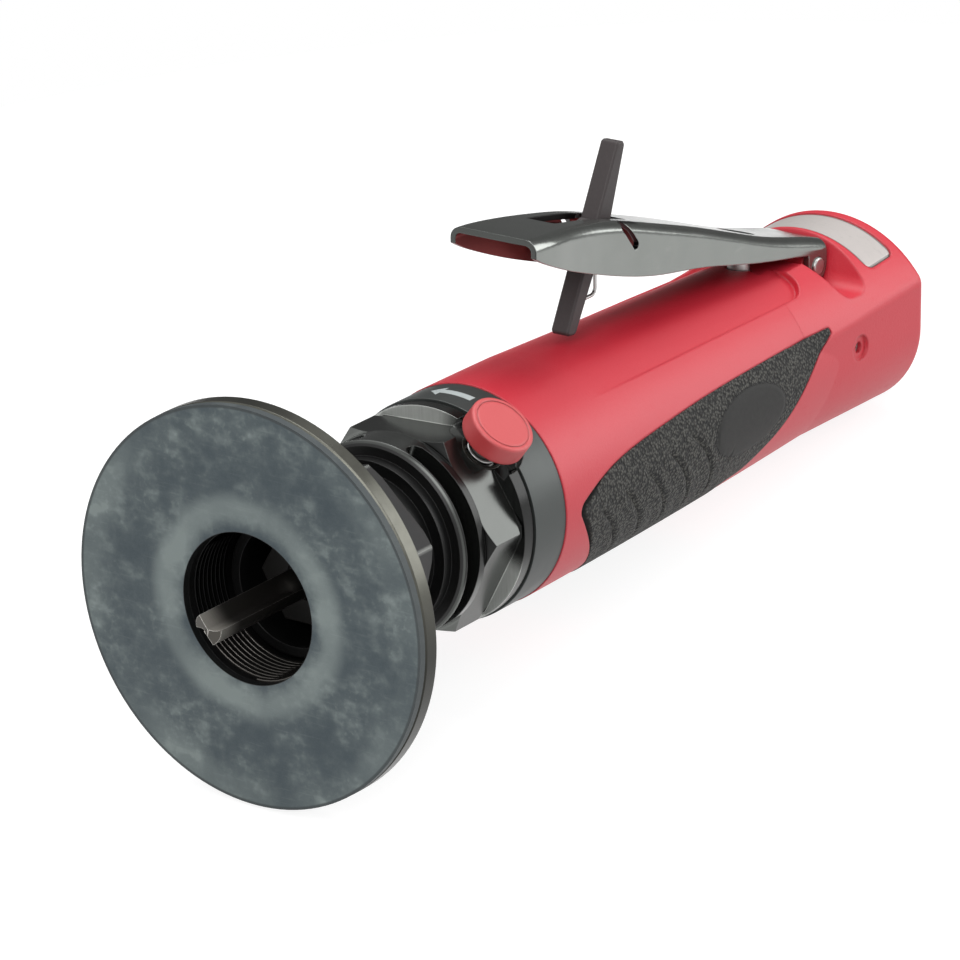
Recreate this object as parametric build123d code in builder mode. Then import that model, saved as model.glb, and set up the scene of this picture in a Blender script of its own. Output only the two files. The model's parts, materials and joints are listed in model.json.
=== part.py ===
"""Pneumatic router with a depth-adjustable sole plate, a throttle lever and a lock-off lever.

Millimetres. The spindle turns about X. The origin is the centre of the sole face, +X runs back
to the air inlet, the cutter points to -X and the lever is on +Z.
"""

import os
from math import cos, pi, radians, sin, sqrt, tan

from build123d import *

os.makedirs("parts", exist_ok=True)

# Fits
RUNNING = 0.05          # radial clearance of a pin or shaft that turns or slides
SEAT = 0.1              # clearance between parts that are clamped together
APART = 0.4             # air between parts that move past each other

# Sole plate and its thread
PLATE_R = 41.275
PLATE_BACK = 5.8
PLATE_CHAMFER = 0.6
PAD_R = 41.2
PAD_THICK = 1.6
BASE_BORE_R = 15.6
HUB_R = 19.6
HUB_BACK = 26.2
HUB_ROUND = 3.0
NUT_FLATS = 36.0
NUT_LENGTH = 8.6
NUT_CHAMFER_R = 19.2
NUT_TURN = 43.0

# Nose barrel
NOSE_FRONT = 14.0
NOSE_LEAD_BACK = 18.8   # plain end ahead of the thread
NOSE_LEAD_R = 14.6
NOSE_BORE_R = 12.6
LIP_FRONT = 40.4
LIP_R = 18.0
BARREL_FRONT = 42.9
BARREL_R = 21.0
BARREL_CHAMFER = 1.0
CHAMBER_R = 16.6
CHAMBER_BACK = 66.0
SLOT_FRONT = 44.1
SLOT_WIDTH = 4.3
SLOT_DEPTH = 5.4        # clears the wall into the chamber
SLOT_FROM = 21.0        # degrees from the top, to the first slot end's centre
SLOT_TO = 165.0
HEX_FRONT = 50.2
HEX_BACK = 61.4
HEX_STEP = 0.1          # corners of the hexagon inside the collar
HEX_TURN = 57.0         # degrees from the top to the middle of a flat
HEX_CHAMFER = 1.3       # chamfer circle outside the flats
COLLAR_FRONT = 60.8
COLLAR_BACK = 63.9
COLLAR_STEP = 0.4       # collar inside the ring
RING_GAP = 0.4
RING_STEP = 0.2         # ring inside the housing
SPIGOT_R = 21.0

# Housing
HOUSING_FRONT = 74.9
HOUSING_FRONT_R = 23.8
HOUSING_MID = 140.0
HOUSING_MID_R = 22.85
HOUSING_WAIST = 196.0
HOUSING_WAIST_R = 20.9
HEAD_FRONT = 172.0
HEAD_FRONT_DOME_R = 21.9
HEAD_FRONT_HALF = 20.9
HEAD_FRONT_CORNER = 19.3
HEAD_BACK = 218.0
HEAD_TOP = 22.9
HEAD_DOME_R = 28.0
HEAD_HALF = 22.9
HEAD_FLOOR = 20.7       # depth of the flat underside below the axis
HEAD_CORNER = 20.4
HEAD_SHOULDER = 4.0     # rounds the edge between dome and side
HEAD_EDGE = 2.2
MOTOR_BORE_R = 19.6
MOTOR_BORE_BACK = 148.0
VALLEY_FRONT = 98.0
VALLEY_BACK = 181.0
VALLEY_DEPTH = 0.9
VALLEY_HALF = 42.0      # degrees either side of the top
VALLEY_CORNER = 5.0
GROOVE_FRONT = 185.1
GROOVE_FLOOR_FRONT = 190.6
GROOVE_FLOOR_BACK = 198.4
GROOVE_BACK = 203.0
GROOVE_FLOOR = 12.6
GROOVE_TOP = 25.9
GROOVE_ROUND = 4.0
RELIEF_FRONT = 176.0
RELIEF_FLOOR = 20.0
PLAQUE_FRONT = 202.9
PLAQUE_BACK = 213.7
PLAQUE_HALF = 17.2
PLAQUE_DEPTH = 0.45
PLAQUE_CORNER = 2.0

# Grip
GRIP_UPPER = [(81.5, 1.3), (92.0, 5.3), (107.9, 7.5), (132.4, 8.9), (157.2, 9.2), (180.6, 9.4)]
GRIP_REAR = [(181.3, 8.0), (167.6, -2.0), (156.6, -9.8), (147.0, -13.4), (138.6, -22.5)]
GRIP_FRONT = [(94.5, -22.5), (90.0, -15.0), (85.0, -8.4), (80.2, -1.4)]
GRIP_TIP_ROUND = 1.0
GRIP_NOSE_ROUND = 2.4
GRIP_PROUD = 0.15
GRIP_DEPTH = 1.2
GRIP_GROOVE_DEPTH = 0.8
GRIP_GROOVE_WIDTH = 1.2
GRIP_GROOVES = 5
GRIP_GROOVE_FIRST = (87.5, -2.0)
GRIP_GROOVE_STEP = (8.55, 1.6)
GRIP_GROOVE_RUN = (16.4, -19.6)
GRIP_GROOVE_BEND = 80.0
GRIP_OVAL = (144.3, 0.6)
GRIP_OVAL_LONG = 13.2
GRIP_OVAL_SHORT = 6.8
GRIP_OVAL_DEPTH = 0.4

# Throttle lever
HINGE_X = 195.5
HINGE_Z = 17.3
HINGE_PIN_R = 2.0
EAR_R = 3.7
LEVER_HALF = 8.6
LEVER_SHEET = 1.3
LEVER_BEND = 2.6
DIMPLE_X = 178.0            # pressed spot over the valve
DIMPLE_TOP = 28.4
LEVER_PRESSING = [          # along the tool, half width, top, edge of the skirt
    (84.0, 10.6, 53.4, 49.7),
    (87.0, 10.6, 53.2, 48.0),
    (92.0, 10.3, 52.7, 45.7),
    (98.0, 9.5, 52.0, 43.2),
    (106.0, 8.8, 50.7, 40.3),
    (118.0, LEVER_HALF, 48.1, 36.4),
    (132.0, LEVER_HALF, 43.9, 32.8),
    (148.0, LEVER_HALF, 38.8, 30.0),
    (164.0, LEVER_HALF, 33.2, 26.3),
    (DIMPLE_X, LEVER_HALF, DIMPLE_TOP, 23.3),
    (HINGE_X - EAR_R, LEVER_HALF, 24.6, 20.6),
    (HINGE_X + EAR_R, LEVER_HALF, 22.5, 18.8),
]
PIN_PROUD = 0.5
PIN_ROUND = 0.4
PIN_SKIN = 0.5              # sheet left over the blind holes of the lock-off pin
LUG_R = 3.9
ARM_SLOT_FRONT = 101.0
ARM_SLOT_BACK = 127.6
ARM_SLOT_WIDTH = 7.0
ARM_SLOT_CORNER = 1.2
SKIRT_SLOT = (121.4, 44.2)
SKIRT_SLOT_LENGTH = 8.0
SKIRT_SLOT_WIDTH = 2.0
SKIRT_SLOT_LEAN = -51.0
DIMPLE_R = 10.0
DIMPLE_DEPTH = 0.5

# Lock-off lever
LOCK_PIVOT_X = 110.0
LOCK_PIVOT_Z = 42.4
LOCK_PIN_R = 1.5
LOCK_BOSS_R = 3.1
LOCK_HALF = 2.2
LOCK_OUTLINE = [(106.9, 25.0), (126.4, 62.4), (129.2, 61.8), (123.9, 47.0), (110.4, 24.6)]
LOCK_WEB = [(5.6, -5.1), (8.0, 5.1)]       # where the lug runs into the arm, from the pivot
LOCK_ROUND = 0.9
LOCK_EDGE = 0.4
WIRE_R = 0.4
COIL_R = 2.2
COIL_PITCH = 1.3
COIL_HALF_TURNS = 5
COIL_BESIDE = 0.2       # air between the lock-off lever and its spring
COIL_START = LOCK_HALF + COIL_BESIDE + WIRE_R + COIL_PITCH * COIL_HALF_TURNS / 2
LEG_X = 120.6           # the wire's leg behind the arm
LEG_BEND = 1.4
LEG_FOOT = 30.4
HOOK_X = 114.3

# Spindle lock button
BUTTON_X = 62.0
BUTTON_TURN = 37.5
BUTTON_R = 7.0
BUTTON_BASE = 24.0
BUTTON_FACE = 28.6
BUTTON_TRAVEL = 3.2
BUTTON_RIM = 0.5
STEM_R = 2.5
STEM_TIP = 13.2
CLIP_R = 3.6
CLIP_THICK = 0.7
BUSH_R = 4.6
BUSH_FLOOR = 16.8
BUSH_WALL = 0.7
BUTTON_WIRE_R = 0.3
BUTTON_HALF_TURNS = 8
BUTTON_LINE = 0.25
SPOT_R = 7.8

# Motor and spindle
CYLINDER_FRONT = 94.0
CYLINDER_BACK = 138.0
END_WALL = 2.0
CYLINDER_BORE_R = 16.2
ECCENTRIC = 1.4
ROTOR_R = 14.4
ROTOR_GAP = 0.3
VANES = 4
VANE_THICK = 1.8
VANE_DEPTH = 7.0
SPINDLE_R = 7.0
FRONT_JOURNAL_R = 5.0
FRONT_BEARING_R = 13.0
FRONT_BEARING_WIDTH = 8.0
REAR_JOURNAL_R = 4.0
REAR_BEARING_R = 11.0
REAR_BEARING_WIDTH = 7.0
RACE = 2.3              # thickness of a bearing's inner ring
DOWEL_R = 1.5
DOWEL_AT = 17.4
DOWEL_REACH = 4.0
LOCK_COLLAR_FRONT = 58.0
LOCK_COLLAR_BACK = 66.0
LOCK_COLLAR_R = 12.4
LOCK_NOTCHES = 4
SPINDLE_FRONT = 24.0
COLLET_R = 5.2
COLLET_NOSE_R = 4.5
COLLET_BACK = 41.5
COLLET_SLITS = 4
COLLET_SLIT = 0.8
COLLET_SLIT_LENGTH = 16.0
COLLET_NUT_FRONT = 19.0
COLLET_NUT_BACK = 33.0
COLLET_NUT_FLATS = 19.0
STUB_R = 4.0
STUB_FRONT = 68.0
BIT_R = 3.175
BIT_TIP = -13.0
BIT_FLUTE_BACK = 13.0
BIT_BACK = 40.0
FLUTE_WEB = 0.5         # from the axis to each cutting face
FLUTE_FLOOR = 0.4
FLUTE_DEEP = 2.4
FLUTE_ROUND = 1.1
FLUTE_TURN = 33.0

# Throttle valve and air inlet
VALVE_X = 176.5
PLUNGER_R = 2.5
PLUNGER_TOP = 27.2
PLUNGER_FOOT = 0.5
GUIDE_R = 5.0
GUIDE_FLOOR = 7.0
GUIDE_TOP = 18.4
VALVE_DISC_R = 4.6
VALVE_DISC_THICK = 2.0
VALVE_WIRE_R = 0.3
VALVE_COIL_R = 2.4
VALVE_HALF_TURNS = 6
PASSAGE_R = 6.6
INLET_R = 11.0
INLET_FRONT = 200.0
SEAL_THICK = 1.0
INLET_FLANGE = 10.0
INLET_FLATS = 24.0
INLET_THREAD_R = 6.24
INLET_THREAD_LENGTH = 10.0
INLET_WAY_R = 5.4
SCREEN_R = 8.0
SCREEN_THICK = 1.6
SCREEN_DEEP = 6.0
SCREEN_HOLES = 12
SCREEN_HOLE_R = 0.7
CROSS_PIN_X = 192.3
CROSS_PIN_Z = 1.7
CROSS_PIN_R = 1.3
CROSS_PIN_SINK = 0.9
CROSS_RECESS_R = 2.9
CROSS_RECESS_DEPTH = 0.6

FAR = 60.0              # longer than any cut needs

SIDE = Plane(origin=(0, 0, 0), x_dir=(1, 0, 0), z_dir=(0, -1, 0))     # sketch x is X, sketch y is Z
NUT_BACK = HUB_BACK + NUT_LENGTH
RING_FRONT = COLLAR_BACK + RING_GAP
RING_R = HOUSING_FRONT_R - RING_STEP
COLLAR_R = RING_R - COLLAR_STEP
HEX_FLATS = 2 * (COLLAR_R - HEX_STEP) * cos(radians(30))
SLOT_MIDDLE = SLOT_FRONT + SLOT_WIDTH / 2
HEAD_FLARE = (HEAD_HALF - HEAD_FRONT_HALF) / (HEAD_BACK - HEAD_FRONT)
CROSS_RECESS_FLOOR = HEAD_FRONT_HALF + HEAD_FLARE * (CROSS_PIN_X - HEAD_FRONT) - CROSS_RECESS_DEPTH
CROSS_PIN_HALF = CROSS_RECESS_FLOOR - CROSS_PIN_SINK
SPINDLE_SHOULDER = CYLINDER_FRONT - END_WALL - FRONT_BEARING_WIDTH
REAR_PLATE_BACK = CYLINDER_BACK + END_WALL + REAR_BEARING_WIDTH
INLET_FLANGE_FRONT = HEAD_BACK + SEAL_THICK
INLET_BACK = INLET_FLANGE_FRONT + INLET_FLANGE
SPOT_FLOOR = BUTTON_BASE - BUTTON_TRAVEL - 2 * APART


def turned(points, mode=Mode.ADD):
    """Revolve a closed outline of (station, radius) points about the spindle axis."""
    with BuildSketch(SIDE) as outline:
        with BuildLine():
            Polyline(*points, close=True)
        make_face()
    revolve(outline.sketch, axis=Axis.X, mode=mode)


def tube(start, end, outer, inner=0.0, mode=Mode.ADD):
    """A sleeve, or with no inner radius a bar, along the spindle axis."""
    turned([(start, inner), (end, inner), (end, outer), (start, outer)], mode)


def radial(station, turn, distance=0.0):
    """A plane that faces straight out from the axis, turned from the top towards -Y."""
    out = Vector(0, -sin(radians(turn)), cos(radians(turn)))
    return Plane(origin=Vector(station, 0, 0) + out * distance, x_dir=(1, 0, 0), z_dir=out)


def across(station):
    """A plane square to the spindle axis, with sketch x along Y and sketch y along Z."""
    return Plane(origin=(station, 0, 0), x_dir=(0, 1, 0), z_dir=(1, 0, 0))


def hex_bar(start, end, flats, turn, mode=Mode.ADD):
    """A hexagonal bar along the axis, with the middle of one flat at the given turn."""
    with BuildSketch(across(start)) as outline:
        RegularPolygon(radius=flats / 2, side_count=6, major_radius=False, rotation=turn)
    extrude(outline.sketch, amount=end - start, mode=mode)


def nut_cone(start, end, flats, chamfer_r, mode=Mode.INTERSECT):
    """The double cone that rounds off both ends of a hexagon."""
    corner = flats / 2 / cos(radians(30)) + 1
    drop = (corner - chamfer_r) * tan(radians(30))
    turned([(start, 0), (end, 0), (end, chamfer_r), (end - drop, corner), (start + drop, corner),
            (start, chamfer_r)], mode)


def radial_bar(station, turn, low, high, radius, mode=Mode.ADD):
    """A round bar that stands out from the axis between two distances."""
    with BuildSketch(radial(station, turn, low)) as outline:
        Circle(radius)
    extrude(outline.sketch, amount=high - low, mode=mode)


def cross_bar(x, z, radius, low, high, mode=Mode.ADD):
    """A round bar along Y."""
    with BuildSketch(Plane(origin=(x, high, z), x_dir=(1, 0, 0), z_dir=(0, -1, 0))) as outline:
        Circle(radius)
    extrude(outline.sketch, amount=high - low, mode=mode)


def upright_bar(x, low, high, radius, mode=Mode.ADD):
    """A round bar along Z."""
    with BuildSketch(Plane(origin=(x, 0, low))) as outline:
        Circle(radius)
    extrude(outline.sketch, amount=high - low, mode=mode)


def waist_radius(station):
    """Radius of the moulded barrel, on the parabola through its three named stations."""
    a, b, c = HOUSING_FRONT, HOUSING_MID, HOUSING_WAIST
    first = HOUSING_FRONT_R * (station - b) * (station - c) / ((a - b) * (a - c))
    second = HOUSING_MID_R * (station - a) * (station - c) / ((b - a) * (b - c))
    third = HOUSING_WAIST_R * (station - a) * (station - b) / ((c - a) * (c - b))
    return first + second + third


def head_section(station, top, dome_r, half, floor, corner):
    """Section of the rear head: a dome, two flat sides and a flat floor with round corners."""
    spring = top - dome_r + sqrt(dome_r**2 - half**2)
    with BuildSketch(across(station)) as section:
        with BuildLine():
            ThreePointArc((-half, spring), (0, top), (half, spring))
            Line((half, spring), (half, corner - floor))
            RadiusArc((half, corner - floor), (half - corner, -floor), corner)
            Line((half - corner, -floor), (corner - half, -floor))
            RadiusArc((corner - half, -floor), (-half, corner - floor), corner)
            Line((-half, corner - floor), (-half, spring))
        make_face()
        fillet(section.vertices().group_by(Axis.Y)[-1], HEAD_SHOULDER)
    return section.sketch


def envelope(grow):
    """The solid outside form of the housing, grown or shrunk by a skin thickness."""
    with BuildPart() as form:
        with BuildSketch(SIDE) as profile:
            with BuildLine():
                Line((HOUSING_FRONT, 0), (HOUSING_FRONT, HOUSING_FRONT_R + grow))
                ThreePointArc((HOUSING_FRONT, HOUSING_FRONT_R + grow), (HOUSING_MID, HOUSING_MID_R + grow),
                              (HOUSING_WAIST, HOUSING_WAIST_R + grow))
                Line((HOUSING_WAIST, HOUSING_WAIST_R + grow), (HOUSING_WAIST, 0))
                Line((HOUSING_WAIST, 0), (HOUSING_FRONT, 0))
            make_face()
        revolve(axis=Axis.X)
        front = head_section(HEAD_FRONT, HEAD_FRONT_DOME_R + grow, HEAD_FRONT_DOME_R + grow,
                             HEAD_FRONT_HALF + grow, HEAD_FLOOR + grow, HEAD_FRONT_CORNER + grow)
        back = head_section(HEAD_BACK, HEAD_TOP + grow, HEAD_DOME_R + grow, HEAD_HALF + grow,
                            HEAD_FLOOR + grow, HEAD_CORNER + grow)
        loft([front, back], ruled=True)
    return form.part


def grip_prism():
    """The grip's side outline, carried right through the housing and open at the underside."""
    with BuildPart() as prism:
        with BuildSketch(SIDE):
            with BuildLine():
                upper = Spline(*GRIP_UPPER)
                RadiusArc(upper @ 1, GRIP_REAR[0], GRIP_TIP_ROUND)
                Spline(*GRIP_REAR)
                Polyline(GRIP_REAR[-1], (GRIP_REAR[-1][0], -FAR / 2), (GRIP_FRONT[0][0], -FAR / 2),
                         GRIP_FRONT[0])
                front = Spline(*GRIP_FRONT)
                RadiusArc(front @ 1, upper @ 0, GRIP_NOSE_ROUND)
            make_face()
        extrude(amount=FAR / 2, both=True)
    return prism.part


def dowel_bar(mode=Mode.ADD):
    """The dowel that runs through the cylinder into both end plates."""
    with BuildSketch(across(CYLINDER_FRONT - DOWEL_REACH)) as outline:
        with Locations((0, DOWEL_AT)):
            Circle(DOWEL_R)
    extrude(outline.sketch, amount=CYLINDER_BACK - CYLINDER_FRONT + 2 * DOWEL_REACH, mode=mode)


with BuildPart() as sole_pad:
    tube(0, PAD_THICK, PAD_R, BASE_BORE_R)

with BuildPart() as base_plate:
    turned([(PAD_THICK, BASE_BORE_R), (PAD_THICK, PLATE_R - PLATE_CHAMFER),
            (PAD_THICK + PLATE_CHAMFER, PLATE_R), (PLATE_BACK - PLATE_CHAMFER, PLATE_R),
            (PLATE_BACK, PLATE_R - PLATE_CHAMFER), (PLATE_BACK, HUB_R + HUB_ROUND),
            (PLATE_BACK + HUB_ROUND, HUB_R), (HUB_BACK, HUB_R), (HUB_BACK, BASE_BORE_R)])

with BuildPart() as lock_nut:
    hex_bar(HUB_BACK, NUT_BACK, NUT_FLATS, NUT_TURN)
    nut_cone(HUB_BACK, NUT_BACK, NUT_FLATS, NUT_CHAMFER_R)
    tube(HUB_BACK, NUT_BACK, BASE_BORE_R, mode=Mode.SUBTRACT)

with BuildPart() as nose_barrel:
    hex_bar(HEX_FRONT, HEX_BACK, HEX_FLATS, HEX_TURN)
    nut_cone(HEX_FRONT, HEX_BACK, HEX_FLATS, HEX_FLATS / 2 + HEX_CHAMFER)
    turned([(NOSE_FRONT, 0), (NOSE_FRONT, NOSE_LEAD_R), (NOSE_LEAD_BACK, NOSE_LEAD_R),
            (NOSE_LEAD_BACK, BASE_BORE_R - SEAT), (LIP_FRONT, BASE_BORE_R - SEAT),
            (LIP_FRONT, LIP_R), (BARREL_FRONT, LIP_R), (BARREL_FRONT, BARREL_R - BARREL_CHAMFER),
            (BARREL_FRONT + BARREL_CHAMFER, BARREL_R), (HEX_FRONT, BARREL_R), (HEX_FRONT, 0)])
    turned([(COLLAR_FRONT, 0), (COLLAR_FRONT, COLLAR_R), (COLLAR_BACK, COLLAR_R), (COLLAR_BACK, SPIGOT_R),
            (HOUSING_FRONT - SEAT, SPIGOT_R), (HOUSING_FRONT - SEAT, MOTOR_BORE_R - SEAT),
            (SPINDLE_SHOULDER - SEAT, MOTOR_BORE_R - SEAT), (SPINDLE_SHOULDER - SEAT, 0)])
    tube(NOSE_FRONT, SPINDLE_SHOULDER, NOSE_BORE_R, mode=Mode.SUBTRACT)
    tube(SLOT_FRONT, CHAMBER_BACK, CHAMBER_R, mode=Mode.SUBTRACT)
    for first, last in ((SLOT_FROM, SLOT_TO), (-SLOT_TO, -SLOT_FROM)):
        with BuildSketch(SIDE) as slot:
            with Locations((SLOT_MIDDLE, BARREL_R)):
                Rectangle(SLOT_WIDTH, 2 * SLOT_DEPTH)
        revolve(slot.sketch.rotate(Axis.X, first), axis=Axis.X, revolution_arc=last - first,
                mode=Mode.SUBTRACT)
        for end in (first, last):
            radial_bar(SLOT_MIDDLE, end, BARREL_R - SLOT_DEPTH, BARREL_R + SLOT_DEPTH, SLOT_WIDTH / 2,
                       Mode.SUBTRACT)
    radial_bar(BUTTON_X, BUTTON_TURN, SPOT_FLOOR, FAR, SPOT_R, Mode.SUBTRACT)
    radial_bar(BUTTON_X, BUTTON_TURN, 0, FAR, BUSH_R, Mode.SUBTRACT)

with BuildPart() as front_ring:
    tube(RING_FRONT, HOUSING_FRONT - SEAT, RING_R, SPIGOT_R + SEAT)
    radial_bar(BUTTON_X, BUTTON_TURN, SPOT_FLOOR, FAR, SPOT_R, Mode.SUBTRACT)

with BuildPart() as valley:
    floor_back = waist_radius(VALLEY_BACK) - VALLEY_DEPTH
    with BuildSketch(SIDE) as wedge:
        with BuildLine():
            Polyline((VALLEY_FRONT, waist_radius(VALLEY_FRONT)), (VALLEY_BACK, floor_back),
                     (VALLEY_BACK, FAR), (VALLEY_FRONT, FAR), close=True)
        make_face()
    revolve(wedge.sketch.rotate(Axis.X, -VALLEY_HALF), axis=Axis.X, revolution_arc=2 * VALLEY_HALF)
    fillet(valley.edges().filter_by(GeomType.LINE).group_by(Axis.X)[-1], VALLEY_CORNER)

with BuildPart() as housing:
    add(envelope(0))
    fillet(housing.faces().sort_by(Axis.X)[-1].edges(), HEAD_EDGE)
    add(valley.part, mode=Mode.SUBTRACT)
    with BuildSketch(SIDE) as groove:
        with BuildLine():
            Polyline((GROOVE_FRONT, GROOVE_TOP), (GROOVE_FLOOR_FRONT, GROOVE_FLOOR),
                     (GROOVE_FLOOR_BACK, GROOVE_FLOOR), (GROOVE_BACK, GROOVE_TOP),
                     (GROOVE_BACK, FAR), (GROOVE_FRONT, FAR), close=True)
        make_face()
        fillet(groove.vertices().group_by(Axis.Y)[0], GROOVE_ROUND)
    extrude(groove.sketch, amount=FAR, both=True, mode=Mode.SUBTRACT)
    with BuildSketch(SIDE) as relief:
        with Locations((RELIEF_FRONT, RELIEF_FLOOR)):
            Rectangle(GROOVE_FLOOR_FRONT - RELIEF_FRONT, FAR, align=(Align.MIN, Align.MIN))
    extrude(relief.sketch, amount=LEVER_HALF + 2 * APART, both=True, mode=Mode.SUBTRACT)
    with BuildSketch(SIDE) as lug:
        with Locations((HINGE_X, HINGE_Z)):
            Circle(LUG_R)
            Rectangle(2 * LUG_R, HINGE_Z - GROOVE_FLOOR + APART, align=(Align.CENTER, Align.MAX))
    extrude(lug.sketch, amount=LEVER_HALF - LEVER_SHEET - APART, both=True)
    cross_bar(HINGE_X, HINGE_Z, HINGE_PIN_R, -FAR, FAR, Mode.SUBTRACT)
    with BuildSketch() as plaque:
        with Locations(((PLAQUE_FRONT + PLAQUE_BACK) / 2, 0)):
            RectangleRounded(PLAQUE_BACK - PLAQUE_FRONT, 2 * PLAQUE_HALF, PLAQUE_CORNER)
    above = extrude(plaque.sketch, amount=FAR, mode=Mode.PRIVATE)
    add(above - envelope(-PLAQUE_DEPTH), mode=Mode.SUBTRACT)
    add(grip_prism() & (envelope(2 * GRIP_PROUD) - envelope(-GRIP_DEPTH)), mode=Mode.SUBTRACT)
    tube(HOUSING_FRONT, MOTOR_BORE_BACK, MOTOR_BORE_R, mode=Mode.SUBTRACT)
    tube(MOTOR_BORE_BACK, INLET_FRONT, PASSAGE_R, mode=Mode.SUBTRACT)
    tube(INLET_FRONT, HEAD_BACK, INLET_R, mode=Mode.SUBTRACT)
    upright_bar(VALVE_X, 0, GUIDE_TOP, GUIDE_R, Mode.SUBTRACT)
    upright_bar(VALVE_X, 0, FAR, PLUNGER_R + APART, Mode.SUBTRACT)
    cross_bar(CROSS_PIN_X, CROSS_PIN_Z, CROSS_PIN_R, -FAR, FAR, Mode.SUBTRACT)
    for side in (1, -1):
        recess = side * CROSS_RECESS_FLOOR
        cross_bar(CROSS_PIN_X, CROSS_PIN_Z, CROSS_RECESS_R, min(recess, side * FAR),
                  max(recess, side * FAR), Mode.SUBTRACT)

with BuildPart() as grip:
    add(grip_prism() & (envelope(GRIP_PROUD) - envelope(-GRIP_DEPTH)))
    with BuildSketch(SIDE) as grooves:
        for count in range(GRIP_GROOVES):
            spot = (GRIP_GROOVE_FIRST[0] + count * GRIP_GROOVE_STEP[0],
                    GRIP_GROOVE_FIRST[1] + count * GRIP_GROOVE_STEP[1])
            foot = (spot[0] + GRIP_GROOVE_RUN[0], spot[1] + GRIP_GROOVE_RUN[1])
            SlotArc(RadiusArc(spot, foot, -GRIP_GROOVE_BEND, mode=Mode.PRIVATE), GRIP_GROOVE_WIDTH)
    cuts = extrude(grooves.sketch, amount=FAR / 2, both=True, mode=Mode.PRIVATE)
    add(cuts - envelope(GRIP_PROUD - GRIP_GROOVE_DEPTH), mode=Mode.SUBTRACT)
    with BuildSketch(SIDE) as oval:
        with Locations(GRIP_OVAL):
            Ellipse(GRIP_OVAL_LONG, GRIP_OVAL_SHORT)
    pad = extrude(oval.sketch, amount=FAR / 2, both=True, mode=Mode.PRIVATE)
    add(pad - envelope(GRIP_PROUD - GRIP_OVAL_DEPTH), mode=Mode.SUBTRACT)

with BuildPart() as lever_pin:
    cross_bar(HINGE_X, HINGE_Z, HINGE_PIN_R, -LEVER_HALF - PIN_PROUD, LEVER_HALF + PIN_PROUD)
    fillet(lever_pin.edges().filter_by(GeomType.CIRCLE), PIN_ROUND)


def pressed_section(x, half, top, skirt):
    """Section of the sheet across the lever: a flat top, two bends and two skirts."""
    inner_half = half - LEVER_SHEET
    inner_bend = LEVER_BEND - LEVER_SHEET
    with BuildSketch(across(x)) as section:
        with BuildLine():
            Line((0, top), (half - LEVER_BEND, top))
            RadiusArc((half - LEVER_BEND, top), (half, top - LEVER_BEND), LEVER_BEND)
            Polyline((half, top - LEVER_BEND), (half, skirt), (inner_half, skirt),
                     (inner_half, top - LEVER_BEND))
            RadiusArc((inner_half, top - LEVER_BEND), (inner_half - inner_bend, top - LEVER_SHEET),
                      -inner_bend)
            Line((inner_half - inner_bend, top - LEVER_SHEET), (0, top - LEVER_SHEET))
            mirror(about=Plane.YZ)
        make_face()
    return section.sketch


with BuildPart() as throttle_lever:
    loft([pressed_section(*station) for station in LEVER_PRESSING])
    with BuildSketch(SIDE) as ear:
        with Locations((HINGE_X, HINGE_Z)):
            Circle(EAR_R)
        Polygon((HINGE_X - EAR_R, HINGE_Z), (HINGE_X + EAR_R, HINGE_Z),
                *[(x, top - LEVER_BEND) for x, half, top, skirt in LEVER_PRESSING[:-3:-1]], align=None)
    for side in (1, -1):
        extrude(ear.sketch.moved(Location((0, side * (LEVER_HALF - LEVER_SHEET / 2), 0))),
                amount=LEVER_SHEET / 2, both=True)
    with Locations((DIMPLE_X, 0, DIMPLE_TOP + DIMPLE_R - DIMPLE_DEPTH)):
        Sphere(DIMPLE_R, rotation=(90, 0, 0), mode=Mode.SUBTRACT)
    with BuildSketch(Plane.XY) as arm_slot:
        with Locations(((ARM_SLOT_FRONT + ARM_SLOT_BACK) / 2, 0)):
            RectangleRounded(ARM_SLOT_BACK - ARM_SLOT_FRONT, ARM_SLOT_WIDTH, ARM_SLOT_CORNER)
    extrude(arm_slot.sketch, amount=FAR * 2, mode=Mode.SUBTRACT)
    with BuildSketch(SIDE) as skirt_slot:
        with Locations(Location((*SKIRT_SLOT, 0), (0, 0, SKIRT_SLOT_LEAN))):
            SlotOverall(SKIRT_SLOT_LENGTH, SKIRT_SLOT_WIDTH)
    extrude(skirt_slot.sketch, amount=FAR, both=True, mode=Mode.SUBTRACT)
    cross_bar(HINGE_X, HINGE_Z, HINGE_PIN_R + RUNNING, -FAR, FAR, Mode.SUBTRACT)
    cross_bar(LOCK_PIVOT_X, LOCK_PIVOT_Z, LOCK_PIN_R, PIN_SKIN - LEVER_HALF, LEVER_HALF - PIN_SKIN,
              Mode.SUBTRACT)

with BuildPart() as lock_pin:
    cross_bar(LOCK_PIVOT_X, LOCK_PIVOT_Z, LOCK_PIN_R, PIN_SKIN - LEVER_HALF, LEVER_HALF - PIN_SKIN)

with BuildPart() as lock_off_lever:
    with BuildSketch(SIDE) as arm:
        with BuildLine():
            Polyline(*LOCK_OUTLINE, close=True)
        make_face()
        fillet(arm.vertices(), LOCK_ROUND)
        with Locations((LOCK_PIVOT_X, LOCK_PIVOT_Z)):
            Circle(LOCK_BOSS_R)
            Polygon((0, LOCK_BOSS_R), (0, -LOCK_BOSS_R), *LOCK_WEB, align=None)
    extrude(arm.sketch, amount=LOCK_HALF, both=True)
    chamfer(lock_off_lever.faces().filter_by(Axis.Y).edges(), LOCK_EDGE)
    cross_bar(LOCK_PIVOT_X, LOCK_PIVOT_Z, LOCK_PIN_R + RUNNING, -FAR, FAR, Mode.SUBTRACT)


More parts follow.
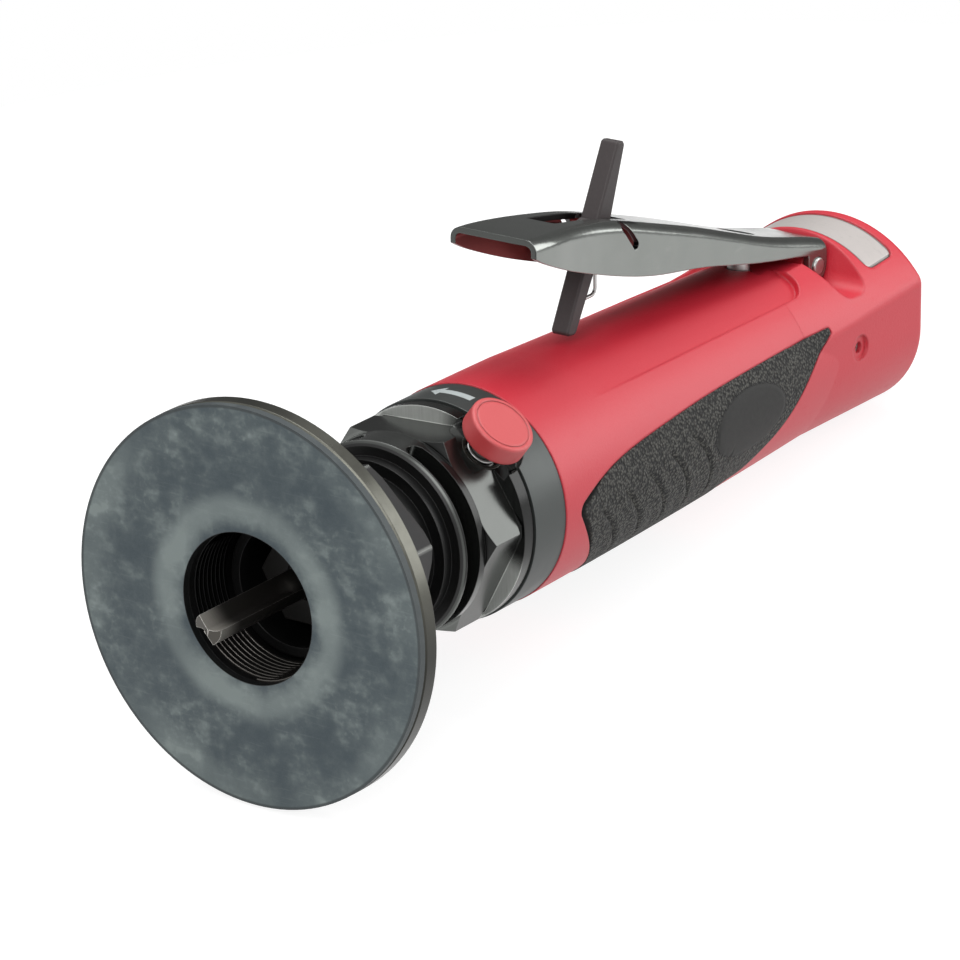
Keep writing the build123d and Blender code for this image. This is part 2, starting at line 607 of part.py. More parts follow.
def coil_path(base, radius, pitch, half_turns):
    """Half turns of a coil about the base plane's normal, each a true half circle in a tilted plane."""
    reach = sqrt(radius**2 + (pitch / 4) ** 2)
    for half in range(half_turns):
        side = 1 if half % 2 == 0 else -1
        low = half * pitch / 2
        ThreePointArc(base.from_local_coords(Vector(side * radius, 0, low)),
                      base.from_local_coords(Vector(0, side * reach, low + pitch / 4)),
                      base.from_local_coords(Vector(-side * radius, 0, low + pitch / 2)))


def least_gap(path, radius, wire_r):
    """Least air between lengths of one wire that lie over half a turn from each other."""
    count = int(path.length / wire_r)
    points = [path @ (step / count) for step in range(count + 1)]
    skip = int(pi * radius / wire_r)
    return min((a - b).length for at, a in enumerate(points) for b in points[at + skip:]) - 2 * wire_r


def coil_spring(base, radius, length, half_turns, wire_r):
    """A coil of round wire that winds up from the base plane."""
    with BuildPart() as coil:
        with BuildLine() as path:
            coil_path(base, radius, 2 * length / half_turns, half_turns)
        with BuildSketch(Plane(origin=path.wire() @ 0, z_dir=path.wire() % 0)):
            Circle(wire_r)
        sweep()
    print(f"coil gap {least_gap(path.wire(), radius, wire_r):.2f} mm")
    return coil


with BuildPart() as lock_spring:
    with BuildLine() as route:
        coil_path(Plane(origin=(LOCK_PIVOT_X, COIL_START, LOCK_PIVOT_Z), x_dir=(0, 0, 1), z_dir=(0, -1, 0)),
                  COIL_R, COIL_PITCH, COIL_HALF_TURNS)
        beside = LOCK_HALF + COIL_BESIDE + WIRE_R
        level = LOCK_PIVOT_Z - COIL_R
        run = Line((LOCK_PIVOT_X, beside, level), (LEG_X - LEG_BEND, beside, level))
        turn_in = TangentArc(run @ 1, (LEG_X, beside - LEG_BEND, level), tangent=(1, 0, 0))
        behind = beside - 2 * LEG_BEND
        turn_down = TangentArc(turn_in @ 1, (LEG_X, behind, level - LEG_BEND), tangent=(0, -1, 0))
        leg = Line(turn_down @ 1, (LEG_X, behind, LEG_FOOT + LEG_BEND))
        turn_back = TangentArc(leg @ 1, (LEG_X - LEG_BEND, behind, LEG_FOOT), tangent=(0, 0, -1))
        Line(turn_back @ 1, (HOOK_X, behind, LEG_FOOT))
    with BuildSketch(Plane(origin=route.wire() @ 0, z_dir=route.wire() % 0)):
        Circle(WIRE_R)
    sweep()
print(f"lock spring gap {least_gap(route.wire(), COIL_R, WIRE_R):.2f} mm")

with BuildPart() as lock_button:
    radial_bar(BUTTON_X, BUTTON_TURN, BUTTON_BASE, BUTTON_FACE, BUTTON_R)
    fillet(lock_button.edges().filter_by(GeomType.CIRCLE), BUTTON_RIM)
    with BuildSketch(radial(BUTTON_X, BUTTON_TURN, BUTTON_FACE - BUTTON_LINE)) as line:
        Circle(BUTTON_R - 2 * BUTTON_RIM)
        Circle(BUTTON_R - 2 * BUTTON_RIM - BUTTON_LINE, mode=Mode.SUBTRACT)
    extrude(line.sketch, amount=BUTTON_RIM, mode=Mode.SUBTRACT)

with BuildPart() as button_stem:
    radial_bar(BUTTON_X, BUTTON_TURN, STEM_TIP, BUTTON_BASE, STEM_R)
    radial_bar(BUTTON_X, BUTTON_TURN, CHAMBER_R - CLIP_THICK, CHAMBER_R, CLIP_R)

with BuildPart() as button_bush:
    radial_bar(BUTTON_X, BUTTON_TURN, BUSH_FLOOR, SPOT_FLOOR, BUSH_R)
    radial_bar(BUTTON_X, BUTTON_TURN, BUSH_FLOOR + BUSH_WALL, FAR, BUSH_R - BUSH_WALL, Mode.SUBTRACT)
    radial_bar(BUTTON_X, BUTTON_TURN, BUSH_FLOOR - BUSH_WALL, FAR, STEM_R + RUNNING, Mode.SUBTRACT)

button_spring = coil_spring(radial(BUTTON_X, BUTTON_TURN, BUSH_FLOOR + BUSH_WALL + BUTTON_WIRE_R),
                            STEM_R + 2 * BUTTON_WIRE_R,
                            BUTTON_BASE - BUSH_FLOOR - BUSH_WALL - 2 * BUTTON_WIRE_R, BUTTON_HALF_TURNS,
                            BUTTON_WIRE_R)

with BuildPart() as motor_cylinder:
    tube(CYLINDER_FRONT, CYLINDER_BACK, MOTOR_BORE_R - SEAT)
    with BuildSketch(across(CYLINDER_FRONT)) as bore:
        with Locations((0, -ECCENTRIC)):
            Circle(CYLINDER_BORE_R)
    extrude(bore.sketch, amount=CYLINDER_BACK - CYLINDER_FRONT, mode=Mode.SUBTRACT)
    dowel_bar(Mode.SUBTRACT)

with BuildPart() as front_end_plate:
    tube(SPINDLE_SHOULDER, CYLINDER_FRONT, MOTOR_BORE_R - SEAT)
    tube(SPINDLE_SHOULDER, CYLINDER_FRONT - END_WALL, FRONT_BEARING_R, mode=Mode.SUBTRACT)
    tube(SPINDLE_SHOULDER, CYLINDER_FRONT, FRONT_JOURNAL_R + RACE + APART, mode=Mode.SUBTRACT)
    dowel_bar(Mode.SUBTRACT)

with BuildPart() as rear_end_plate:
    tube(CYLINDER_BACK, REAR_PLATE_BACK, MOTOR_BORE_R - SEAT)
    tube(CYLINDER_BACK + END_WALL, REAR_PLATE_BACK, REAR_BEARING_R, mode=Mode.SUBTRACT)
    tube(CYLINDER_BACK, REAR_PLATE_BACK, REAR_JOURNAL_R + RACE + APART, mode=Mode.SUBTRACT)
    dowel_bar(Mode.SUBTRACT)

with BuildPart() as cylinder_dowel:
    dowel_bar()

with BuildPart() as motor_gasket:
    tube(REAR_PLATE_BACK, MOTOR_BORE_BACK, MOTOR_BORE_R - SEAT, REAR_BEARING_R)

with BuildPart() as front_bearing_outer:
    tube(SPINDLE_SHOULDER, CYLINDER_FRONT - END_WALL, FRONT_BEARING_R, FRONT_JOURNAL_R + RACE + RUNNING)

with BuildPart() as front_bearing_inner:
    tube(SPINDLE_SHOULDER, CYLINDER_FRONT - END_WALL, FRONT_JOURNAL_R + RACE, FRONT_JOURNAL_R)

with BuildPart() as rear_bearing_outer:
    tube(CYLINDER_BACK + END_WALL, REAR_PLATE_BACK, REAR_BEARING_R, REAR_JOURNAL_R + RACE + RUNNING)

with BuildPart() as rear_bearing_inner:
    tube(CYLINDER_BACK + END_WALL, REAR_PLATE_BACK, REAR_JOURNAL_R + RACE, REAR_JOURNAL_R)


def vane_plates(thick, tip, mode=Mode.ADD):
    """Plates that stand in the rotor's slots, one for each vane."""
    low = ROTOR_R - VANE_DEPTH
    for count in range(VANES):
        with BuildSketch(radial(CYLINDER_FRONT + ROTOR_GAP, count * 360 / VANES, low)) as plate:
            Rectangle(CYLINDER_BACK - CYLINDER_FRONT - 2 * ROTOR_GAP, thick, align=(Align.MIN, Align.CENTER))
        extrude(plate.sketch, amount=tip - low, mode=mode)


with BuildPart() as rotor:
    turned([(STUB_FRONT, 0), (STUB_FRONT, STUB_R), (SPINDLE_SHOULDER, STUB_R),
            (SPINDLE_SHOULDER, FRONT_JOURNAL_R), (CYLINDER_FRONT - END_WALL, FRONT_JOURNAL_R),
            (CYLINDER_FRONT - END_WALL, FRONT_JOURNAL_R + RACE / 2),
            (CYLINDER_FRONT + ROTOR_GAP, FRONT_JOURNAL_R + RACE / 2), (CYLINDER_FRONT + ROTOR_GAP, ROTOR_R),
            (CYLINDER_BACK - ROTOR_GAP, ROTOR_R), (CYLINDER_BACK - ROTOR_GAP, REAR_JOURNAL_R + RACE / 2),
            (CYLINDER_BACK + END_WALL, REAR_JOURNAL_R + RACE / 2),
            (CYLINDER_BACK + END_WALL, REAR_JOURNAL_R), (REAR_PLATE_BACK, REAR_JOURNAL_R),
            (REAR_PLATE_BACK, 0)])
    vane_plates(VANE_THICK + 2 * RUNNING, FAR, Mode.SUBTRACT)

with BuildPart() as vanes:
    vane_plates(VANE_THICK, ROTOR_R)

with BuildPart() as spindle:
    tube(SPINDLE_FRONT, SPINDLE_SHOULDER, SPINDLE_R)
    tube(SPINDLE_FRONT, COLLET_BACK + SEAT, COLLET_R, mode=Mode.SUBTRACT)
    tube(STUB_FRONT, SPINDLE_SHOULDER, STUB_R, mode=Mode.SUBTRACT)

with BuildPart() as lock_collar:
    tube(LOCK_COLLAR_FRONT, LOCK_COLLAR_BACK, LOCK_COLLAR_R, SPINDLE_R)
    for count in range(LOCK_NOTCHES):
        radial_bar(BUTTON_X, BUTTON_TURN + count * 360 / LOCK_NOTCHES, STEM_TIP - BUTTON_TRAVEL - APART, FAR,
                   STEM_R + APART, Mode.SUBTRACT)

with BuildPart() as collet:
    turned([(COLLET_NUT_FRONT + SEAT, BIT_R), (COLLET_NUT_FRONT + SEAT, COLLET_NOSE_R),
            (SPINDLE_FRONT, COLLET_NOSE_R), (SPINDLE_FRONT, COLLET_R - SEAT),
            (COLLET_BACK, COLLET_R - SEAT), (COLLET_BACK, BIT_R)])
    for count in range(COLLET_SLITS):
        with BuildSketch(radial(COLLET_NUT_FRONT, count * 360 / COLLET_SLITS)) as slit:
            Rectangle(COLLET_SLIT_LENGTH, COLLET_SLIT, align=(Align.MIN, Align.CENTER))
        extrude(slit.sketch, amount=FAR, mode=Mode.SUBTRACT)

with BuildPart() as collet_nut:
    hex_bar(COLLET_NUT_FRONT, COLLET_NUT_BACK, COLLET_NUT_FLATS, 0)
    tube(COLLET_NUT_FRONT, SPINDLE_FRONT, COLLET_NOSE_R + SEAT, mode=Mode.SUBTRACT)
    tube(SPINDLE_FRONT, COLLET_NUT_BACK, SPINDLE_R, mode=Mode.SUBTRACT)

with BuildPart() as router_bit:
    tube(BIT_TIP, BIT_BACK, BIT_R)
    with BuildSketch(across(BIT_TIP)) as flutes:
        with PolarLocations(0, 2, FLUTE_TURN):
            with BuildSketch(mode=Mode.PRIVATE) as flute:
                with Locations((-FLUTE_FLOOR, FLUTE_WEB)):
                    Rectangle(FAR, FLUTE_DEEP, align=(Align.MIN, Align.MIN))
                fillet(flute.vertices().group_by(Axis.X)[0], FLUTE_ROUND)
            add(flute.sketch)
    extrude(flutes.sketch, amount=BIT_FLUTE_BACK - BIT_TIP, mode=Mode.SUBTRACT)

with BuildPart() as valve_guide:
    upright_bar(VALVE_X, GUIDE_FLOOR, GUIDE_TOP, GUIDE_R)
    upright_bar(VALVE_X, 0, FAR, PLUNGER_R + RUNNING, Mode.SUBTRACT)

with BuildPart() as throttle_plunger:
    upright_bar(VALVE_X, PLUNGER_FOOT, PLUNGER_TOP, PLUNGER_R)
    fillet(throttle_plunger.faces().sort_by(Axis.Z)[-1].edges(), PLUNGER_R - RUNNING)

with BuildPart() as valve_disc:
    upright_bar(VALVE_X, PLUNGER_FOOT - VALVE_DISC_THICK, PLUNGER_FOOT, VALVE_DISC_R)

VALVE_SPRING_TOP = PLUNGER_FOOT - VALVE_DISC_THICK - VALVE_WIRE_R
VALVE_SPRING_FLOOR = VALVE_WIRE_R - sqrt(PASSAGE_R**2 - (VALVE_COIL_R + VALVE_WIRE_R) ** 2)
valve_spring = coil_spring(Plane(origin=(VALVE_X, 0, VALVE_SPRING_FLOOR)), VALVE_COIL_R,
                           VALVE_SPRING_TOP - VALVE_SPRING_FLOOR, VALVE_HALF_TURNS, VALVE_WIRE_R)

with BuildPart() as inlet_bushing:
    tube(INLET_FRONT, INLET_FLANGE_FRONT, INLET_R - SEAT)
    hex_bar(INLET_FLANGE_FRONT, INLET_BACK, INLET_FLATS, 0)
    tube(INLET_BACK - INLET_THREAD_LENGTH, INLET_BACK, INLET_THREAD_R, mode=Mode.SUBTRACT)
    tube(INLET_FRONT, INLET_BACK, INLET_WAY_R, mode=Mode.SUBTRACT)
    tube(INLET_FRONT, INLET_FRONT + SCREEN_DEEP, SCREEN_R, mode=Mode.SUBTRACT)

with BuildPart() as inlet_seal:
    tube(HEAD_BACK, INLET_FLANGE_FRONT, INLET_FLATS / 2, INLET_R)

with BuildPart() as inlet_screen:
    tube(INLET_FRONT + SCREEN_DEEP - SCREEN_THICK, INLET_FRONT + SCREEN_DEEP, SCREEN_R - SEAT)
    with BuildSketch(across(INLET_FRONT)) as mesh:
        for ring in (1, 2):
            with PolarLocations(ring * 3 * SCREEN_HOLE_R, ring * SCREEN_HOLES // 2):
                Circle(SCREEN_HOLE_R)
    extrude(mesh.sketch, amount=SCREEN_DEEP, mode=Mode.SUBTRACT)

with BuildPart() as cross_pin:
    cross_bar(CROSS_PIN_X, CROSS_PIN_Z, CROSS_PIN_R, -CROSS_PIN_HALF, CROSS_PIN_HALF)
    cross_bar(CROSS_PIN_X, CROSS_PIN_Z, CROSS_PIN_R / 2, -CROSS_PIN_HALF, CROSS_PIN_HALF, Mode.SUBTRACT)

pieces = {
    "sole_pad": sole_pad, "base_plate": base_plate, "lock_nut": lock_nut,
    "nose_barrel": nose_barrel, "front_ring": front_ring, "housing": housing, "grip": grip,
    "throttle_lever": throttle_lever, "lever_pin": lever_pin,
    "lock_off_lever": lock_off_lever, "lock_pin": lock_pin, "lock_spring": lock_spring,
    "lock_button": lock_button, "button_stem": button_stem, "button_bush": button_bush,
    "button_spring": button_spring,
    "motor_cylinder": motor_cylinder, "front_end_plate": front_end_plate, "rear_end_plate": rear_end_plate,
    "cylinder_dowel": cylinder_dowel, "motor_gasket": motor_gasket,
    "front_bearing_outer": front_bearing_outer, "front_bearing_inner": front_bearing_inner,
    "rear_bearing_outer": rear_bearing_outer, "rear_bearing_inner": rear_bearing_inner,
    "rotor": rotor, "vanes": vanes, "spindle": spindle, "lock_collar": lock_collar,
    "collet": collet, "collet_nut": collet_nut, "router_bit": router_bit,
    "valve_guide": valve_guide, "throttle_plunger": throttle_plunger, "valve_disc": valve_disc,
    "valve_spring": valve_spring,
    "inlet_bushing": inlet_bushing, "inlet_seal": inlet_seal, "inlet_screen": inlet_screen,
    "cross_pin": cross_pin,
}
for name, piece in pieces.items():
    piece.part.label = name
    export_step(piece.part, f"parts/{name}.step")
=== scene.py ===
"""Looks of the pneumatic router: finishes for the CAD pieces, and the studio.

Made here as pieces of their own: the threads, the nose with its turned hex corners, the two coils,
the cutter, the grip's cover and the rear label. Sizes are in millimetres unless a comment says otherwise.
"""

import json
import math

import bmesh
import bpy
from mathutils import Matrix, Vector
from mathutils.bvhtree import BVHTree
from mathutils.interpolate import poly_3d_calc
from mathutils.kdtree import KDTree


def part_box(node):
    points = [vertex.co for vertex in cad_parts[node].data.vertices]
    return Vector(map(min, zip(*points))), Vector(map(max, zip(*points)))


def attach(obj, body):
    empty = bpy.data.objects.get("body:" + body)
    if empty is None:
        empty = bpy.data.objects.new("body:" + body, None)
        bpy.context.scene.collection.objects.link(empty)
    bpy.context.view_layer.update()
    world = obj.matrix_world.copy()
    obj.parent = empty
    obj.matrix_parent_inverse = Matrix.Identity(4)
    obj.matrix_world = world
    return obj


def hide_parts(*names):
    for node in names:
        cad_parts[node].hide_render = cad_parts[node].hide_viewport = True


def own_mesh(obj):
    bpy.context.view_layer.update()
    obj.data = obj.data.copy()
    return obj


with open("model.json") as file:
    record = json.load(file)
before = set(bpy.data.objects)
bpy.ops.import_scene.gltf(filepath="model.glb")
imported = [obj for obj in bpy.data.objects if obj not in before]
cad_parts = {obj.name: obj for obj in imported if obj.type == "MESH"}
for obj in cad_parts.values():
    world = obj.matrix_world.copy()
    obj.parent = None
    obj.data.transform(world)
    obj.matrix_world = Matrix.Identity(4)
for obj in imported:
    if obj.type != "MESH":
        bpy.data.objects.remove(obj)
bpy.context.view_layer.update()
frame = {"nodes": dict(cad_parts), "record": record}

MM = 0.001


# Shader kit: one class for arithmetic on sockets, one for a finish's node tree


class Sock:
    """A value in a finish's node tree. Arithmetic on it adds Math nodes."""

    def __init__(self, finish, socket):
        self.finish = finish
        self.socket = socket

    def math(self, operation, *values):
        settings = {"operation": operation}
        return self.finish.add("Math", settings, dict(enumerate(values)))

    def __add__(self, other):
        return self.math("ADD", self, other)

    def __radd__(self, other):
        return self.math("ADD", other, self)

    def __sub__(self, other):
        return self.math("SUBTRACT", self, other)

    def __rsub__(self, other):
        return self.math("SUBTRACT", other, self)

    def __mul__(self, other):
        return self.math("MULTIPLY", self, other)

    def __rmul__(self, other):
        return self.math("MULTIPLY", other, self)

    def __truediv__(self, other):
        return self.math("DIVIDE", self, other)

    def __abs__(self):
        return self.math("ABSOLUTE", self)

    def least(self, other):
        return self.math("MINIMUM", self, other)

    def most(self, other):
        return self.math("MAXIMUM", self, other)

    def root(self):
        return self.math("SQRT", self)

    def within(self):
        """Kept from 0 to 1."""
        return self.most(0.0).least(1.0)

    def above(self, edge, soft):
        """0 below the edge and 1 above it, over the soft width."""
        sockets = {"Value": self, "From Min": edge - soft / 2, "From Max": edge + soft / 2}
        return self.finish.add("MapRange", {"interpolation_type": "SMOOTHSTEP"}, sockets)

    def below(self, edge, soft):
        return 1 - self.above(edge, soft)

    def between(self, low, high, soft):
        return self.above(low, soft) * self.below(high, soft)


class Finish:
    """A material, or the world, and its node tree. add() is the one way that a node is made."""

    def __init__(self, holder):
        self.holder = holder
        self.holder.use_nodes = True
        self.tree = self.holder.node_tree
        self.tree.nodes.clear()

    def add(self, kind, settings=None, sockets=None, out=0):
        node = self.tree.nodes.new("ShaderNode" + kind)
        for key, value in (settings or {}).items():
            setattr(node, key, value)
        for key, value in (sockets or {}).items():
            self.feed(node.inputs[key], value)
        return Sock(self, node.outputs[out]) if node.outputs else None

    def feed(self, slot, value):
        if isinstance(value, Sock):
            self.tree.links.new(value.socket, slot)
        elif isinstance(value, tuple) and len(value) == 3 and slot.type == "RGBA":
            slot.default_value = (*value, 1.0)
        else:
            slot.default_value = value

    def place(self):
        """Object coordinates, the same for every piece because all sit at the origin."""
        return self.add("TexCoord", out="Object")

    def axes(self, vector):
        """The three numbers of a vector, in millimetres."""
        split = [self.add("SeparateXYZ", None, {0: vector}, out) for out in range(3)]
        return [value / MM for value in split]

    def mapped(self, vector, scale=(1, 1, 1), turn=(0, 0, 0)):
        return self.add("Mapping", None, {"Vector": vector, "Rotation": turn, "Scale": scale})

    def dot(self, first, second):
        return self.add("VectorMath", {"operation": "DOT_PRODUCT"}, {0: first, 1: second}, "Value")

    def turn(self, across, up):
        """Degrees round the spindle from the top, positive on the side that the photograph shows."""
        return self.add("Math", {"operation": "ARCTAN2"}, {0: 0 - across, 1: up}) * (180 / math.pi)

    def noise(self, vector, size, detail=2.0, rough=0.5, distort=0.0):
        """Noise from 0 to 1 whose blobs are about size millimetres across."""
        sockets = {"Vector": vector, "Scale": 1 / (size * MM), "Detail": detail, "Roughness": rough,
                   "Distortion": distort}
        return self.add("TexNoise", None, sockets)

    def pebbles(self, vector, size, smooth):
        sockets = {"Vector": vector, "Scale": 1 / (size * MM), "Smoothness": smooth}
        return self.add("TexVoronoi", {"feature": "SMOOTH_F1"}, sockets)

    def blend(self, share, first, second):
        """Colour that goes from first to second as share goes from 0 to 1."""
        return self.add("Mix", {"data_type": "RGBA"}, {0: share, 6: first, 7: second}, 2)

    def rounded(self, radius):
        """Normal that is rounded over the edges, as a deburred edge is."""
        return self.add("Bevel", {"samples": 6}, {"Radius": radius * MM})

    def edges(self, radius):
        """1 on the edges of the piece and 0 on its faces."""
        face = self.add("NewGeometry", out="Normal")
        return (1 - self.dot(self.rounded(radius), face)).above(0.06, 0.1)

    def bump(self, height, depth, normal=None, strength=1.0):
        """Bump whose height of 0 to 1 stands for depth millimetres."""
        sockets = {"Height": height, "Distance": depth * MM, "Strength": strength}
        if normal is not None:
            sockets["Normal"] = normal
        return self.add("Bump", None, sockets)

    def close(self, **sockets):
        """Ends the tree in a Principled shader, with the sockets that are given."""
        named = {key.replace("_", " "): value for key, value in sockets.items()}
        shader = self.add("BsdfPrincipled", None, named)
        self.add("OutputMaterial", None, {"Surface": shader})
        return self.holder


def finish(name):
    return Finish(bpy.data.materials.new(name))


# Piece kit: what several of the pieces below share


def add_piece(name, mesh):
    piece = bpy.data.objects.new(name, mesh)
    bpy.context.scene.collection.objects.link(piece)
    return piece


def settle(piece, modifier):
    """Gives the piece the plain mesh that its modifier makes, and takes the modifier off."""
    evaluated = piece.evaluated_get(bpy.context.evaluated_depsgraph_get())
    mesh = bpy.data.meshes.new_from_object(evaluated)
    piece.modifiers.remove(modifier)
    piece.data = mesh


def smooth_mesh(shape, name, crease):
    """Plain mesh of a bmesh, faces outwards and smooth up to the crease angle in degrees."""
    bmesh.ops.recalc_face_normals(shape, faces=shape.faces)
    for face in shape.faces:
        face.smooth = True
    mesh = bpy.data.meshes.new(name)
    shape.to_mesh(mesh)
    shape.free()
    mesh.set_sharp_from_angle(angle=math.radians(crease))
    return mesh


def skin_of(node):
    """Search tree over the faces of a CAD node."""
    mesh = frame["nodes"][node].data
    return BVHTree.FromPolygons([v.co for v in mesh.vertices], [p.vertices for p in mesh.polygons])


def ease(value, low, high):
    """0 below low, 1 above high, with a soft start and end between."""
    share = min(max((value - low) / (high - low), 0.0), 1.0)
    return share * share * (3 - 2 * share)


# Finishes. Places are along the spindle (X), off it (RADIUS) or in degrees round it from the top (TURN)

PAD_BORE_RADIUS, PAD_RIM_RADIUS = 15.68, 40.6
PAD_BORE_HALO, PAD_RIM_HALO = (17.2, 22.4), 35.0
HUB_BORE_RADIUS, HUB_BORE_BACK = 15.9, 42.0
NECK_X, NECK_RADIUS = (26.6, 43.4), 20.5
LAND_X, LAND_RADIUS = (43.5, 50.4), 20.8
CHAMFER_X, CHAMFER_RADIUS = (50.0, 55.0), 19.5
COLLAR_FACE_X, COLLAR_FACE_RADIUS = (60.6, 61.0), 19.8
COLLAR_X, COLLAR_RADIUS = (60.9, 64.8), 20.0
# Turns from the top within which the black metal takes painted light.
LIT_TOP_TURN, LIT_LOW_TURN = 14.0, 106.0
PLATE_RIM_RADIUS, PLATE_RIM_TURN = 40.9, (-40.0, 82.0)
ARROW_X, ARROW_HALF, ARROW_SPREAD = 69.6, 1.0, 0.35
TIP_TURN, NECK_TURN, TAIL_TURN = -14.0, -7.0, 11.2
ARM_SLOT_X, ARM_SLOT_HALF = (100.8, 127.8), 3.65
SIDE_SLIT_X, SIDE_SLIT_Z, SIDE_SLIT_SQUARE = 121.4, 44.2, 20.0
LEVER_TAB_X, BIT_DEEP_X = 90.0, -9.0
LABEL_FRONT, LABEL_BACK, LABEL_HALF, LABEL_CORNER = 203.15, 213.45, 16.9, 1.8
LABEL_BORDER_ALONG, LABEL_BORDER_ACROSS = 0.45, 0.4
OVAL_X, OVAL_Z, OVAL_LONG, OVAL_SHORT = 146.0, -0.9, 13.6, 6.9
# Painted shade colours: two for the black metal and thread, one for the rubber's border and oval outline.
SHADE_DARK, SHADE_DARKEST, RUBBER_SHADE = (0.012, 0.012, 0.012), (0.006, 0.006, 0.006), (0.003, 0.003, 0.003)


def sole_fibre():
    """Grey fibre pad: cloudy, with chalky clumps, rubbed pale round the bore and near the rim; painted
    shade on the bore's wall.
    """
    f = finish("sole_fibre")
    place = f.place()
    y, z = f.axes(place)[1:]
    radius = (y * y + z * z).root()
    slow = f.noise(place, 26.0, 2.0, 0.5)
    cloud = f.noise(place, 10.5, 4.0, 0.58)
    clump = f.noise(f.mapped(place, (1, 0.75, 1.15)), 3.4, 2.0, 0.5)
    fleck = f.noise(place, 1.2, 2.0, 0.5)
    scratch = f.noise(f.mapped(place, (1, 0.16, 2.2), (0.2, 0, 0)), 1.4, 3.0, 0.6)
    speck = f.noise(place, 0.35, 2.0)
    ragged = radius + (cloud - 0.5) * 5.0
    bore_halo = ragged.between(*PAD_BORE_HALO, 4.0) * (slow * 1.8 - 0.1).within()
    rim_halo = ragged.above(PAD_RIM_HALO, 6.0) * (slow * 2.6 - 0.85).within()
    crowded = cloud.above(0.52, 0.3)
    chalk = clump.above(0.58, 0.34) * (0.06 + crowded * 0.55)
    chalk = chalk + fleck.above(0.62, 0.24) * crowded * 0.24
    pale = 0.1 + bore_halo * 0.86 + rim_halo * 0.52 + chalk * (1 - bore_halo * 0.7)
    pale = pale + (cloud - 0.5) * 0.66 + scratch.above(0.64, 0.12) * 0.1 + (speck - 0.5) * 0.14
    pale = pale.within()
    colour = f.blend(pale, (0.050, 0.069, 0.080), (0.250, 0.292, 0.286))
    colour = f.blend(radius.above(PAD_RIM_RADIUS, 0.4) * 0.8, colour, (0.04, 0.046, 0.048))
    # Painted shade on the bore's wall.
    colour = f.blend(radius.below(PAD_BORE_RADIUS, 0.08), colour, (0.004, 0.0045, 0.0045))
    height = clump * 0.5 + speck * 0.5
    return f.close(Base_Color=colour, Roughness=0.5 + pale * 0.18, Normal=f.bump(height, 0.03),
                   Specular_IOR_Level=0.35)


def black_metal(name, shade, sheen):
    """Black metal with fine turning lines; painted light and shade by turn, painted edge highlights, a
    painted reflection on the plate rim, and matt in the neck and bore with painted shade there.
    """
    f = finish(name)
    place = f.place()
    x, y, z = f.axes(place)
    radius = (y * y + z * z).root()
    edge = f.edges(0.22)
    highlight_noise = f.noise(place, 3.0, 3.0, 0.5)
    lines = f.noise(f.mapped(place, (1, 0.02, 0.02)), 0.12, 2.0)
    smear = f.noise(place, 7.0, 3.0)
    brushed = f.noise(f.mapped(place, (0.1, 1.6, 0.1)), 0.9, 3.0, 0.6)
    turn = f.turn(y, z)
    # Painted light: the turns at the top and below are lighter; kept marks the turns between, left in
    # painted shade.
    painted_lit_turns = turn.below(LIT_TOP_TURN, 18.0).most(turn.above(LIT_LOW_TURN, 14.0))
    kept = 1 - painted_lit_turns
    ahead = 0 - f.dot(f.add("NewGeometry", out="Normal"), (1, 0, 0))
    land = x.between(*LAND_X, 0.2) * radius.above(LAND_RADIUS, 0.1)
    chamfer = x.between(*CHAMFER_X, 0.2) * radius.above(CHAMFER_RADIUS, 0.2) * ahead.above(0.25, 0.1)
    collar_face = x.between(*COLLAR_FACE_X, 0.1) * radius.above(COLLAR_FACE_RADIUS, 0.2)
    collar_band = x.between(*COLLAR_X, 0.1) * radius.above(COLLAR_RADIUS, 0.2) * kept
    plate_rim = radius.above(PLATE_RIM_RADIUS, 0.2) * turn.between(*PLATE_RIM_TURN, 30.0)
    bore = radius.below(HUB_BORE_RADIUS, 0.4) * x.below(HUB_BORE_BACK, 1.0)
    neck = x.between(*NECK_X, 0.3) * radius.below(NECK_RADIUS, 0.3)
    matt_and_shaded = bore.most(neck)
    land_painted_light = f.blend(painted_lit_turns, (0.018, 0.018, 0.018), (0.15, 0.157, 0.15))
    collar_face_painted_light = f.blend(painted_lit_turns, SHADE_DARK, (0.62, 0.64, 0.61))
    # Painted highlights on the edges, patchy by the noise.
    colour = f.blend(edge * (0.03 + highlight_noise * 0.09), shade, (0.40, 0.41, 0.40))
    # Painted light and shade by turn on the lands, the collar band and the chamfer, and on the collar's
    # front face, whose brushed finish is its own.
    colour = f.blend(land * 0.8, colour, land_painted_light)
    colour = f.blend(collar_face * (0.6 + brushed * 0.4), colour, collar_face_painted_light)
    colour = f.blend(collar_band.most(chamfer * kept) * 0.85, colour, SHADE_DARK)
    colour = f.blend(chamfer * painted_lit_turns * 0.5, colour, (0.2, 0.21, 0.2))
    # Painted reflection on the upper part of the plate rim.
    colour = f.blend(plate_rim * (0.55 + highlight_noise * 0.45), colour, (0.115, 0.115, 0.098))
    # Painted shade in the bore and the neck, which are also matt.
    colour = f.blend(matt_and_shaded, colour, SHADE_DARKEST)
    rough = sheen + smear * 0.1 + matt_and_shaded * 0.14
    normal = f.bump(lines, 0.012, f.rounded(0.22), 0.5)
    metal = 0.92 - matt_and_shaded * 0.6 - collar_face * painted_lit_turns * 0.5
    return f.close(Base_Color=colour, Metallic=metal, Roughness=rough, Normal=normal)


